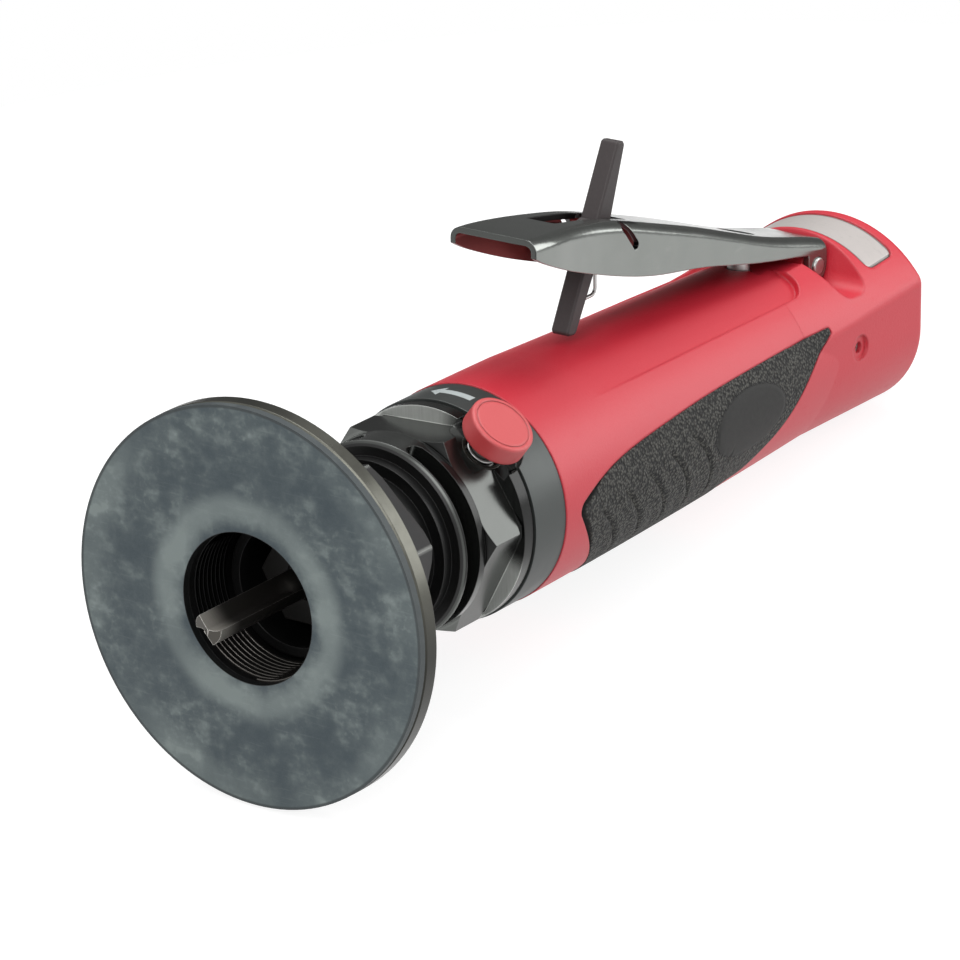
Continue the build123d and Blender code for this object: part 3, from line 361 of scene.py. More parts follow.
def ring_grey():
    """Satin grey front ring with a printed arrow for the spindle's turn."""
    f = finish("ring_grey")
    place = f.place()
    x, y, z = f.axes(place)
    edge = f.edges(0.25)
    grain = f.noise(place, 0.35, 2.0)
    smear = f.noise(place, 6.0, 3.0)
    turn = f.turn(y, z)
    from_tip = turn - TIP_TURN
    off_line = abs(x - ARROW_X)
    head = (off_line - from_tip * ARROW_SPREAD).below(0.0, 0.15) * turn.between(TIP_TURN, NECK_TURN, 0.4)
    shaft = turn.between(NECK_TURN - 0.4, TAIL_TURN, 0.4) * off_line.below(ARROW_HALF, 0.15)
    print_wear = f.noise(place, 0.8, 3.0).above(0.3, 0.2)
    arrow = head.most(shaft) * (0.75 + print_wear * 0.2)
    # Painted highlights on the edges.
    base = f.blend(edge * 0.5, (0.056, 0.062, 0.060), (0.2, 0.21, 0.205))
    colour = f.blend(arrow, base, (0.47, 0.52, 0.52))
    return f.close(Base_Color=colour, Metallic=0.55 - arrow * 0.5, Roughness=0.36 + smear * 0.14,
                   Normal=f.bump(grain, 0.012, f.rounded(0.25), 0.5))


def moulded_red(name, colour, deep, grain_depth, sheen, gloss):
    """Red moulded plastic with a fine spark-eroded grain and softly rounded edges."""
    f = finish(name)
    place = f.place()
    grain = f.noise(place, 0.42, 2.0, 0.6)
    flow = f.noise(place, 26.0, 3.0)
    dust = f.noise(place, 0.9, 3.0, 0.7)
    base = f.blend(((flow - 0.3) * 0.5).within(), colour, deep)
    base = f.blend(((grain - 0.35) * 0.2).within(), base, (0.72, 0.12, 0.15))
    return f.close(Base_Color=base, Roughness=sheen + grain * 0.1 + dust.above(0.62, 0.1) * 0.06,
                   Normal=f.bump(grain, grain_depth, f.rounded(0.8), 0.7), Specular_IOR_Level=gloss)


def grip_rubber():
    """Soft black rubber: pebbled face, smooth border where the rim attribute is low, smooth oval boss;
    painted shade in the pebbles' hollows, along the border and round the oval.
    """
    f = finish("grip_rubber")
    place = f.place()
    x, y, z = f.axes(place)
    along = (x - OVAL_X) / OVAL_LONG
    across = (z - OVAL_Z) / OVAL_SHORT
    out = along * along + across * across
    oval = out.below(1.06, 0.06)
    outline = out.between(1.04, 1.16, 0.06)
    border = f.add("Attribute", {"attribute_name": "rim"}, out="Fac").below(0.42, 0.3)
    wobble = f.noise(place, 1.2, 2.0)
    pebble = f.pebbles(place, 0.66, 0.22)
    skin = f.noise(place, 0.2, 2.0)
    rise = 1 - pebble * 1.45 + (wobble - 0.5) * 0.7
    # Painted shade: the colour is darker where the pebbles are low, lighter on their tops.
    shade = (rise * 0.85 + skin * 0.25).above(0.5, 0.7)
    colour = f.blend(shade, (0.003, 0.003, 0.0027), (0.098, 0.096, 0.086))
    oval_shade = f.blend(wobble, (0.004, 0.0039, 0.0035), (0.016, 0.0156, 0.014))
    colour = f.blend(oval, colour, oval_shade)
    # Painted shade round the oval and along the border of the grip.
    colour = f.blend(outline * 0.7, colour, RUBBER_SHADE)
    colour = f.blend(border * 0.95, colour, RUBBER_SHADE)
    plain = oval.most(border)
    height = rise * (1 - plain) + skin * 0.15
    return f.close(Base_Color=colour, Roughness=0.6 + skin * 0.16 - oval * 0.05 + border * 0.3,
                   Normal=f.bump(height, 0.34, f.rounded(0.3), 0.9), Specular_IOR_Level=0.35)


def lever_sheet():
    """Pressed steel: grey satin outside, a painted reflection of the red housing inside, painted shade on
    the slots' cut edges and the front lip.
    """
    f = finish("lever_sheet")
    place = f.place()
    x, y, z = f.axes(place)
    face = f.add("NewGeometry", out="Normal")
    under = (0 - f.dot(face, (0, 0, 1))).above(0.3, 0.2)
    inner_wall = (0 - f.dot(face, (0, 1, 0)) * y).above(1.5, 1.0)
    inside = under.most(inner_wall)
    arm_slot = x.between(*ARM_SLOT_X, 0.2) * abs(y).below(ARM_SLOT_HALF, 0.2)
    slit_x, slit_z = x - SIDE_SLIT_X, z - SIDE_SLIT_Z
    near_slit = (slit_x * slit_x + slit_z * slit_z).below(SIDE_SLIT_SQUARE, 4.0)
    side_slit = near_slit * abs(f.dot(face, (0, 1, 0))).below(0.5, 0.2)
    lip = (0 - f.dot(face, (1, 0, 0))).above(0.6, 0.3) * x.below(LEVER_TAB_X, 1.0)
    cloud = f.noise(place, 8.0, 4.0, 0.6)
    grain = f.noise(place, 0.3, 2.0)
    rub = f.noise(f.mapped(place, (0.25, 1, 1)), 1.6, 3.0, 0.6)
    colour = f.blend(cloud, (0.205, 0.217, 0.204), (0.262, 0.274, 0.260))
    colour = f.blend(rub.above(0.68, 0.12) * 0.12, colour, (0.42, 0.43, 0.42))
    # Painted reflection of the red housing on the inside.
    colour = f.blend(inside * 0.95, colour, (0.17, 0.014, 0.013))
    # Painted shade on the front lip and in the arm slot and side slit.
    colour = f.blend(lip * 0.8, colour, (0.05, 0.052, 0.05))
    colour = f.blend(arm_slot.most(side_slit), colour, (0.012, 0.011, 0.011))
    rough = 0.12 + cloud * 0.08 + inside * 0.2
    return f.close(Base_Color=colour, Metallic=0.88 - inside * 0.3, Roughness=rough,
                   Normal=f.bump(grain, 0.01, f.rounded(0.4), 0.5), Specular_IOR_Level=0.3)


def lock_black():
    """Brownish black moulded lock-off lever."""
    f = finish("lock_black")
    place = f.place()
    edge = f.edges(0.35)
    grain = f.noise(f.mapped(place, (1, 1, 0.35)), 0.5, 3.0, 0.6)
    colour = f.blend(grain, (0.034, 0.027, 0.028), (0.052, 0.043, 0.043))
    # Painted highlights on the edges.
    colour = f.blend(edge * 0.35, colour, (0.13, 0.12, 0.12))
    return f.close(Base_Color=colour, Roughness=0.46 + grain * 0.12,
                   Normal=f.bump(grain, 0.03, f.rounded(0.35), 0.6), Specular_IOR_Level=0.4)


def ground_steel(name, colour, rough):
    """Ground steel with faint lines along its turning direction."""
    f = finish(name)
    place = f.place()
    smear = f.noise(place, 3.0, 3.0)
    turning = f.noise(f.mapped(place, (1, 0.03, 0.03)), 0.1, 2.0)
    shade = f.blend(smear * 0.35, colour, tuple(0.6 * part for part in colour))
    return f.close(Base_Color=shade, Metallic=1.0, Roughness=rough + smear * 0.1,
                   Normal=f.bump(turning, 0.01, f.rounded(0.15), 0.3))


def carbide():
    """Ground carbide of the cutter: painted highlights on the cutting edges, fine grinding lines, painted
    shade making it black deep in the bore.
    """
    f = finish("carbide")
    place = f.place()
    edge = f.edges(0.14)
    grind = f.noise(f.mapped(place, (3.0, 0.4, 0.4)), 0.5, 3.0)
    end = (0 - f.dot(f.add("NewGeometry", out="Normal"), (1, 0, 0))).above(0.5, 0.2)
    x = f.axes(place)[0]
    shade = f.blend(grind, (0.24, 0.225, 0.20), (0.34, 0.32, 0.29))
    # Painted shade deep in the bore.
    deep = x.above(BIT_DEEP_X, 7.0)
    shade = f.blend(deep, shade, (0.016, 0.0145, 0.013))
    shade = f.blend(end, shade, (0.075, 0.070, 0.062))
    # Painted highlights on the cutting edges, less of them deep in the bore.
    shade = f.blend(edge * (1 - deep * 0.8) * 0.8, shade, (0.85, 0.83, 0.78))
    return f.close(Base_Color=shade, Metallic=0.55 + end * 0.3, Roughness=0.38 + grind * 0.12,
                   Normal=f.bump(grind, 0.01, f.rounded(0.1), 0.4))


def thread_black():
    """Black thread in painted shade, with painted light on its crests low on the -Y side."""
    f = finish("thread_black")
    place = f.place()
    y, z = f.axes(place)[1:]
    smear = f.noise(place, 3.0, 3.0)
    # Painted light low on the -Y side, painted shade on the rest.
    lit_side = (0 - y * 0.5 - z * 0.87).above(2.0, 12.0)
    shade = f.blend(lit_side, SHADE_DARKEST, (0.085, 0.080, 0.074))
    return f.close(Base_Color=shade, Metallic=0.9, Roughness=0.2 + smear * 0.1)


def plain_part(name, colour, metal, rough, size):
    """Inner part: cast or moulded, with a slight mottling."""
    f = finish(name)
    place = f.place()
    mottle = f.noise(place, size, 4.0, 0.6)
    shade = f.blend(mottle * 0.6, colour, tuple(0.55 * part for part in colour))
    return f.close(Base_Color=shade, Metallic=metal, Roughness=rough + mottle * 0.12,
                   Normal=f.bump(mottle, 0.03, f.rounded(0.2), 0.4))


def label_foil():
    """Blank pale foil label with a thin grey border, a little scuffed."""
    f = finish("label_foil")
    place = f.place()
    x, y = f.axes(place)[:2]
    scuff = f.noise(f.mapped(place, (1, 0.3, 0.3)), 0.8, 4.0, 0.7)
    cloud = f.noise(place, 3.0, 3.0)
    field = x.between(LABEL_FRONT + LABEL_BORDER_ALONG, LABEL_BACK - LABEL_BORDER_ALONG, 0.12)
    field = field * abs(y).below(LABEL_HALF - LABEL_BORDER_ACROSS, 0.12)
    shade = f.blend(cloud * 0.4, (0.54, 0.50, 0.48), (0.40, 0.375, 0.36))
    shade = f.blend(scuff.above(0.62, 0.12) * 0.3, shade, (0.34, 0.33, 0.32))
    shade = f.blend(1 - field, shade, (0.22, 0.21, 0.20))
    return f.close(Base_Color=shade, Metallic=0.2, Roughness=0.34 + cloud * 0.15,
                   Normal=f.bump(scuff, 0.01, None, 0.4))


NOSE_BLACK = black_metal("nose_black", (0.080, 0.084, 0.080), 0.18)
PLATE_BLACK = black_metal("plate_black", (0.032, 0.032, 0.028), 0.24)
NUT_BLACK = black_metal("nut_black", (0.125, 0.128, 0.122), 0.24)
BUSH_DARK = ground_steel("bush_dark", (0.10, 0.095, 0.085), 0.3)
INLET_STEEL = ground_steel("inlet_steel", (0.27, 0.27, 0.265), 0.42)

SLOT_FINISHES = {
    "sole_grey": sole_fibre(),
    "black_metal": NOSE_BLACK,
    "ring_grey": ring_grey(),
    "housing_red": moulded_red("housing_red_moulded", (0.56, 0.012, 0.030), (0.49, 0.009, 0.025),
                               grain_depth=0.05, sheen=0.42, gloss=0.72),
    "grip_rubber": grip_rubber(),
    "lever_black": lever_sheet(),
    "lock_black": lock_black(),
    "button_red": moulded_red("button_red_moulded", (0.54, 0.046, 0.050), (0.48, 0.036, 0.040),
                              grain_depth=0.02, sheen=0.46, gloss=1.0),
    "steel": ground_steel("steel_ground", (0.45, 0.45, 0.44), 0.3),
    "tool_steel": ground_steel("tool_steel_black", (0.10, 0.10, 0.10), 0.3),
    "brass": ground_steel("brass_turned", (0.60, 0.42, 0.18), 0.3),
    "seal_rubber": plain_part("seal_rubber_black", (0.02, 0.02, 0.02), 0.0, 0.6, 1.0),
    "vane_plastic": plain_part("vane_fibre", (0.16, 0.10, 0.05), 0.0, 0.6, 1.5),
    "cylinder_iron": plain_part("cylinder_iron_ground", (0.28, 0.28, 0.28), 0.9, 0.35, 2.0),
}
THREAD_BLACK = thread_black()
# Painted shade: the collet and its nut, deep in the bore, are coloured near black.
COLLET_SHADE_BLACK = plain_part("collet_painted_shade", (0.012, 0.011, 0.010), 0.4, 0.4, 1.0)
NODE_FINISHES = {
    "base_plate": PLATE_BLACK,
    "lock_nut": NUT_BLACK,
    "button_bush": BUSH_DARK,
    "collet_nut": COLLET_SHADE_BLACK,
    "collet": COLLET_SHADE_BLACK,
    "inlet_bushing": INLET_STEEL,
}

for name, node in frame["nodes"].items():
    for held in node.material_slots:
        held.material = NODE_FINISHES.get(name) or SLOT_FINISHES[held.material.name]


# Threads: a ridge that winds along the spindle's axis, made by Geometry Nodes

POINTS_PER_TURN = 56
INWARD = 0.0


def ridge_tree():
    """Node tree that winds a three sided ridge round the X axis, from its named sizes."""
    tree = bpy.data.node_groups.new("wound_ridge", "GeometryNodeTree")
    kinds = dict.fromkeys(("Start", "Length", "Radius", "Turns", "Ridge", "Lean"), "Float")
    kinds["Finish"] = "Material"
    sizes = {}
    for name, kind in kinds.items():
        sizes[name] = tree.interface.new_socket(name, in_out="INPUT", socket_type="NodeSocket" + kind)
    tree.interface.new_socket("Ridge", in_out="OUTPUT", socket_type="NodeSocketGeometry")

    def add(kind, settings, sockets):
        node = tree.nodes.new(kind)
        for key, value in settings.items():
            setattr(node, key, value)
        for key, value in sockets.items():
            if isinstance(value, bpy.types.NodeSocket):
                tree.links.new(value, node.inputs[key])
            else:
                node.inputs[key].default_value = value
        return node

    given = tree.nodes.new("NodeGroupInput").outputs
    wind = add("GeometryNodeCurveSpiral", {}, {
        "Resolution": POINTS_PER_TURN, "Rotations": given["Turns"], "Height": given["Length"],
        "Start Radius": given["Radius"], "End Radius": given["Radius"]})
    upright = add("GeometryNodeSetCurveNormal", {"mode": "Z_UP"}, {"Curve": wind.outputs[0]})
    wedge = add("GeometryNodeCurvePrimitiveCircle", {"mode": "RADIUS"}, {
        "Resolution": 3, "Radius": given["Ridge"]})
    lean = add("ShaderNodeCombineXYZ", {}, {"Z": given["Lean"]})
    turned = add("GeometryNodeTransform", {}, {"Geometry": wedge.outputs[0], "Rotation": lean.outputs[0]})
    ridge = add("GeometryNodeCurveToMesh", {}, {
        "Curve": upright.outputs[0], "Profile Curve": turned.outputs[0], "Fill Caps": True})
    start = add("ShaderNodeCombineXYZ", {}, {"X": given["Start"]})
    laid = add("GeometryNodeTransform", {}, {
        "Geometry": ridge.outputs[0], "Translation": start.outputs[0], "Rotation": (0, math.pi / 2, 0)})
    whole = add("GeometryNodeRealizeInstances", {}, {"Geometry": laid.outputs[0]})
    coated = add("GeometryNodeSetMaterial", {}, {"Geometry": whole.outputs[0], "Material": given["Finish"]})
    add("NodeGroupOutput", {}, {0: coated.outputs[0]})
    return tree, {name: socket.identifier for name, socket in sizes.items()}


RIDGE_TREE, RIDGE_SIZES = ridge_tree()


def thread_ridge(name, body, coat, front, back, wall, pitch, ridge, lean=INWARD):
    """A thread from front to back on a wall of that radius. It rides on the body."""
    piece = add_piece(name, bpy.data.meshes.new(name))
    wound = piece.modifiers.new("wound_ridge", "NODES")
    wound.node_group = RIDGE_TREE
    sizes = {"Start": front * MM, "Length": (back - front) * MM, "Radius": wall * MM,
             "Turns": (back - front) / pitch, "Ridge": ridge * MM, "Lean": lean, "Finish": coat}
    for size, value in sizes.items():
        wound[RIDGE_SIZES[size]] = value
    settle(piece, wound)
    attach(piece, body)


thread_ridge("bore_thread", "base", THREAD_BLACK,
             front=2.6, back=13.2, wall=15.6, pitch=1.3, ridge=0.5)
thread_ridge("inlet_thread", "body", SLOT_FINISHES["steel"],
             front=220.4, back=228.6, wall=6.24, pitch=1.4, ridge=0.45)


# Nose: the CAD nose with the rear corners of its hex turned down to a cone, as on a nut

COLLAR_FACE, CONE_START, CONE_REACH = 60.75, 21.0, 26.0
CONE_SLOPE = math.tan(math.radians(34))
CONE_STEPS = 150  # so that no edge between two facets meets a corner of the hex
DOUBLES, ON_SURFACE, SAME_WAY = 0.0005, 0.003, 0.99


def corner_cone():
    """Ring with a three cornered section that takes off the rear corners of the hex."""
    section = ((COLLAR_FACE, CONE_START), (COLLAR_FACE, CONE_REACH),
               (COLLAR_FACE - (CONE_REACH - CONE_START) * CONE_SLOPE, CONE_REACH))
    verts, faces = [], []
    for step in range(CONE_STEPS):
        turn = 2 * math.pi * step / CONE_STEPS
        here, ahead = 3 * step, 3 * ((step + 1) % CONE_STEPS)
        for corner, (x, radius) in enumerate(section):
            after = (corner + 1) % 3
            verts.append(Vector((x, radius * math.cos(turn), radius * math.sin(turn))) * MM)
            faces.append((here + corner, ahead + corner, ahead + after, here + after))
    mesh = bpy.data.meshes.new("corner_cone")
    mesh.from_pydata(verts, [], faces)
    shape = bmesh.new()
    shape.from_mesh(mesh)
    bmesh.ops.recalc_face_normals(shape, faces=shape.faces)
    shape.to_mesh(mesh)
    shape.free()
    return add_piece("corner_cone", mesh)


def old_normal(source, face, place):
    """Normal of the CAD mesh at a place on one of its faces."""
    corners = [source.vertices[vert].co for vert in face.vertices]
    normal = Vector((0, 0, 0))
    for share, loop in zip(poly_3d_calc(corners, place), face.loop_indices):
        normal += share * source.corner_normals[loop].vector
    return normal.normalized()


def cone_normal(place):
    outward = Vector((0, place.y, place.z)).normalized()
    return (outward * CONE_SLOPE + Vector((1, 0, 0))).normalized()


def keep_shading(turned, node):
    """Gives each face that is left of the CAD nose its old normals, and the turned corners the cone's."""
    source = frame["nodes"][node].data
    skin = skin_of(node)
    normals = [None] * len(turned.loops)
    for face in turned.polygons:
        nearest, gap = skin.find_nearest(face.center)[2:]
        own = source.polygons[nearest]
        on_skin = gap < ON_SURFACE * MM
        kept = on_skin and face.normal.dot(own.normal) > SAME_WAY
        for loop in face.loop_indices:
            place = turned.vertices[turned.loops[loop].vertex_index].co
            if kept:
                normals[loop] = old_normal(source, own, place)
            elif on_skin:
                normals[loop] = face.normal.copy()
            else:
                normals[loop] = cone_normal(place)
    turned.normals_split_custom_set(normals)


def chamfered_nose():
    """The CAD nose less the ring, with its doubles merged first so that the cut is clean."""
    shape = bmesh.new()
    shape.from_mesh(frame["nodes"]["nose_barrel"].data)
    bmesh.ops.remove_doubles(shape, verts=shape.verts, dist=DOUBLES * MM)
    mesh = bpy.data.meshes.new("nose_chamfered")
    shape.to_mesh(mesh)
    shape.free()
    mesh.materials.append(NOSE_BLACK)
    piece = add_piece("nose_chamfered", mesh)
    ring = corner_cone()
    cut = piece.modifiers.new("corner_cone", "BOOLEAN")
    cut.operation = "DIFFERENCE"
    cut.solver = "EXACT"
    cut.object = ring
    settle(piece, cut)
    bpy.data.objects.remove(ring)
    for face in piece.data.polygons:
        face.use_smooth = True
        face.material_index = 0
    keep_shading(piece.data, "nose_barrel")
    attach(piece, "body")
    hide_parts("nose_barrel")


chamfered_nose()


# Springs: the coils of the button and of the throttle valve, as pieces of their own in place of the CAD
# nodes

JOINTS = {joint["name"]: joint for joint in frame["record"]["behaviour"]["joints"]}
COUPLED = {pair["joint"]: pair["ratio"] for pair in frame["record"]["behaviour"]["couplings"]}


def pressed_coil(name, node, push, travel):
    """The CAD node's coil as a piece of its own. Its seat and the share kept are worked out from the push
    and the travel, in metres, but the coil is not shortened.
    """
    mesh = frame["nodes"][node].data.copy()
    way = Vector(push).normalized()
    along = [vert.co.dot(way) for vert in mesh.vertices]
    middle = sum((vert.co for vert in mesh.vertices), Vector()) / len(along)
    seat = middle + way * (max(along) - middle.dot(way))
    piece = add_piece(name, mesh)
    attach(piece, "body")
    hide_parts(node)
    keep = 1 - travel / (max(along) - min(along))
    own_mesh(piece)


button_travel = JOINTS["lock_button_push"]["range_m"][1]
valve_travel = COUPLED["throttle_push"] * math.radians(JOINTS["lever_squeeze"]["range_deg"][1])
pressed_coil("button_coil", "button_spring",
             JOINTS["lock_button_push"]["axis"], button_travel)
pressed_coil("valve_coil", "valve_spring",
             JOINTS["throttle_push"]["axis"], valve_travel)


# Cutter: two straight flutes with ground ends, in place of the plain fluted rod

BIT_RADIUS, BIT_TIP, FLUTE_END, RUN_OUT, BIT_BACK = 3.175, -13.0, 9.0, 15.0, 40.0
EDGE_TURN, HEEL_TURN = -30.0, 84.0
WEB_HALF, LAND_RELIEF, END_RELIEF = 0.5, 0.05, 0.3
ROOT_AHEAD, ROOT_BEND = 0.2, 0.9
FACE_STEPS, GULLET_STEPS, LAND_STEPS, RUN_OUT_STEPS = 6, 9, 10, 4
BIT_CREASE = 28


def flute_outline():
    """Half of the cutter's section, from one cutting edge to the next, as places across and up."""

    def at(turn, radius):
        return Vector((-radius * math.sin(math.radians(turn)), radius * math.cos(math.radians(turn))))

    edge, heel = at(EDGE_TURN, BIT_RADIUS), at(HEEL_TURN, BIT_RADIUS * (1 - LAND_RELIEF))
    along = edge.normalized()
    root = along * ROOT_AHEAD + at(EDGE_TURN + 90, WEB_HALF)
    bend = root - along * ROOT_BEND
    outline = [edge.lerp(root, step / FACE_STEPS) for step in range(FACE_STEPS)]
    for step in range(GULLET_STEPS):
        share = step / GULLET_STEPS
        outline.append(root * (1 - share) ** 2 + bend * 2 * share * (1 - share) + heel * share ** 2)
    for step in range(LAND_STEPS):
        share = step / LAND_STEPS
        outline.append(at(HEEL_TURN + (180 + EDGE_TURN - HEEL_TURN) * share,
                          BIT_RADIUS * (1 - LAND_RELIEF * (1 - share))))
    return outline


def cutter():
    """The section set out along the rod: its end ground back behind the lips, its flutes run out round."""
    half = flute_outline()
    section = half + [-spot for spot in half]
    rake = Vector((-math.sin(math.radians(EDGE_TURN + 90)), math.cos(math.radians(EDGE_TURN + 90))))
    shares = [step / RUN_OUT_STEPS for step in range(RUN_OUT_STEPS + 1)]
    run_out = [FLUTE_END + (RUN_OUT - FLUTE_END) * share for share in shares]
    shape = bmesh.new()
    rings = []
    for x in (BIT_TIP, BIT_TIP + 2, 0.0, *run_out, BIT_BACK):
        round_off = ease(x, FLUTE_END, RUN_OUT)
        ring = []
        for spot in section:
            side = 1 if spot.dot(half[0]) > 0 else -1
            behind = max(0.0, WEB_HALF - side * spot.dot(rake))
            back = END_RELIEF * behind if x == BIT_TIP else 0.0
            y, z = spot.lerp(spot.normalized() * BIT_RADIUS, round_off)
            ring.append(shape.verts.new(Vector((x + back, y, z)) * MM))
        rings.append(ring)
    count = len(section)
    for front, back in zip(rings, rings[1:]):
        for i in range(count):
            j = (i + 1) % count
            shape.faces.new((front[i], front[j], back[j], back[i]))
    ends = [shape.faces.new(rings[0]), shape.faces.new(rings[-1])]
    bmesh.ops.triangulate(shape, faces=ends)
    mesh = smooth_mesh(shape, "cutter", BIT_CREASE)
    mesh.materials.append(carbide())
    piece = add_piece("cutter", mesh)
    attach(piece, "shaft")
    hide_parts("router_bit")


cutter()


# Grip cover: the rubber with its five finger grooves and raised oval, in the recess of the housing

GROOVE_COUNT, GROOVE_STEP, GROOVE_DEPTH, GROOVE_HALF = 5, 8.5, 0.75, 0.5
GROOVE_X, GROOVE_TURN, GROOVE_TURN_STEP = 87.0, 94.5, -3.8
GROOVE_LEAN, GROOVE_CURL, GROOVE_CURL_END = 0.5, 0.0048, 52.0
GROOVE_START, GROOVE_END, GROOVE_FADE = (-1.5, 6.0), 146.0, 24
LOBE_RISE, LOBE_BACK, LOBE_HALF = 0.3, 1.7, 1.4
OVAL_RISE, OVAL_EDGE = 0.3, (0.97, 1.05)
COVER_WALL, COVER_ROUND, COVER_ROUND_WIDTH, COVER_CREASE = 1.25, 0.85, 0.62, 50
COVER_ROWS, ROW_CROWDING, COLUMN_STEPS = 72, 0.9, (0.12, 0.34, 0.45, 1.0, 0.15)
TUCK, GROOVES_BACK, OVAL_BACK = 0.02, 137, 161
BARREL, ROUND_BARREL_END, TOPMOST, BOTTOM = 23.3, 165.0, 40, 180
REAR_DROOP, REAR_DROOP_X, REAR_DROOP_WIDTH = 6.0, 149.5, 4.5
FRONT_GAP, FRONT_GAP_X = 2.5, (3, 9)
OUTSIDE, RIM_STEP, RIM_TRIES, SEAM = 60, 0.2, 14, 0.002


def spaced(start, stop, step):
    """Places from start up to stop, about a step apart, without the last one."""
    count = max(1, round((stop - start) / step))
    return [start + (stop - start) * i / count for i in range(count)]


def away(turn):
    """Direction away from the spindle at a turn in degrees from the top."""
    return Vector((0, -math.sin(math.radians(turn)), math.cos(math.radians(turn))))


def groove_relief(x, turn, radius):
    """Height of the grip's face over its smooth form: grooves with a lobe ahead of each."""
    height = 0.0
    for count in range(GROOVE_COUNT):
        run = turn - GROOVE_TURN - GROOVE_TURN_STEP * count
        bend = min(max(run, 0.0), GROOVE_CURL_END)
        middle = GROOVE_X + GROOVE_STEP * count + GROOVE_LEAN * bend - GROOVE_CURL * bend * bend
        lean = (GROOVE_LEAN - 2 * GROOVE_CURL * bend) / math.radians(radius)
        off = (x - middle) / math.hypot(1, lean)
        fade = ease(run, *GROOVE_START) * (1 - ease(turn, GROOVE_END - GROOVE_FADE, GROOVE_END))
        height -= GROOVE_DEPTH * math.exp(-(off / GROOVE_HALF) ** 2) * fade
        height += LOBE_RISE * math.exp(-((off + LOBE_BACK) / LOBE_HALF) ** 2) * fade
    return height


def oval_rise(x, z):
    out = math.hypot((x - OVAL_X) / OVAL_LONG, (z - OVAL_Z) / OVAL_SHORT)
    return OVAL_RISE * (1 - ease(out, *OVAL_EDGE))


def grip_reach(skin, x, turn):
    """Radius of the grip's face at a place along and round the tool, or 0 where there is none."""
    spot = skin.ray_cast((Vector((x, 0, 0)) + away(turn) * OUTSIDE) * MM, -away(turn))[0]
    return 0.0 if spot is None else max(spot.dot(away(turn)) / MM, 0.0)


def grip_border(skin, x, inside, outside):
    """Turn at which the grip ends, between one inside it and one outside."""
    for count in range(RIM_TRIES):
        middle = (inside + outside) / 2
        inside, outside = (middle, outside) if grip_reach(skin, x, middle) else (inside, middle)
    return inside


def grip_spans(skin, front, back):
    """For each column along the grip: x, top and low turn, radius, and last turn on the CAD grip."""
    stops = (front + TUCK, front + 1, GROOVES_BACK, OVAL_BACK, back - 2, back - TUCK)
    columns = []
    for start, stop, step in zip(stops, stops[1:], COLUMN_STEPS):
        columns += spaced(start, stop, step)
    columns.append(stops[-1])
    spans = []
    for x in columns:
        held = [turn for turn in range(TOPMOST, BOTTOM + 1) if grip_reach(skin, x, turn)]
        top = grip_border(skin, x, held[0], held[0] - 1)
        low = BOTTOM if held[-1] == BOTTOM else grip_border(skin, x, held[-1], held[-1] + 1)
        if low < BOTTOM:
            low += REAR_DROOP * math.exp(-((x - REAR_DROOP_X) / REAR_DROOP_WIDTH) ** 2)
        spans.append((x, top, low, max(grip_reach(skin, x, turn) for turn in held), held[-1]))
    return spans


def rim_place(x, turn):
    """The grip's face unrolled flat."""
    return Vector((x, math.radians(turn) * BARREL, 0))


def rim_places(spans):
    """Places close together along the rim of the grip, to measure distances from."""
    ends = [(spans[0], spans[0]), (spans[-1], spans[-1])]
    lines = [(rim_place(a[0], a[1]), rim_place(b[0], b[2])) for a, b in ends]
    for a, b in zip(spans, spans[1:]):
        lines.append((rim_place(a[0], a[1]), rim_place(b[0], b[1])))
        if a[2] < BOTTOM or b[2] < BOTTOM:
            lines.append((rim_place(a[0], a[2]), rim_place(b[0], b[2])))
    places = []
    for a, b in lines:
        count = math.ceil((b - a).length / RIM_STEP) + 1
        places += [a.lerp(b, i / count) for i in range(count + 1)]
    tree = KDTree(len(places))
    for i, place in enumerate(places):
        tree.insert(place, i)
    tree.balance()
    return tree


def sew(shape, outer, inner, spans):
    """Faces of one half of the cover: its two skins, its long edges and its ends."""
    for i in range(len(spans) - 1):
        for j in range(COVER_ROWS):
            shape.faces.new((outer[i][j], outer[i + 1][j], outer[i + 1][j + 1], outer[i][j + 1]))
            shape.faces.new((inner[i][j], inner[i][j + 1], inner[i + 1][j + 1], inner[i + 1][j]))
        shape.faces.new((outer[i][0], inner[i][0], inner[i + 1][0], outer[i + 1][0]))
        if spans[i][2] < BOTTOM or spans[i + 1][2] < BOTTOM:
            shape.faces.new((outer[i][-1], outer[i + 1][-1], inner[i + 1][-1], inner[i][-1]))
    for end in (0, -1):
        for j in range(COVER_ROWS):
            shape.faces.new((outer[end][j], outer[end][j + 1], inner[end][j + 1], inner[end][j]))


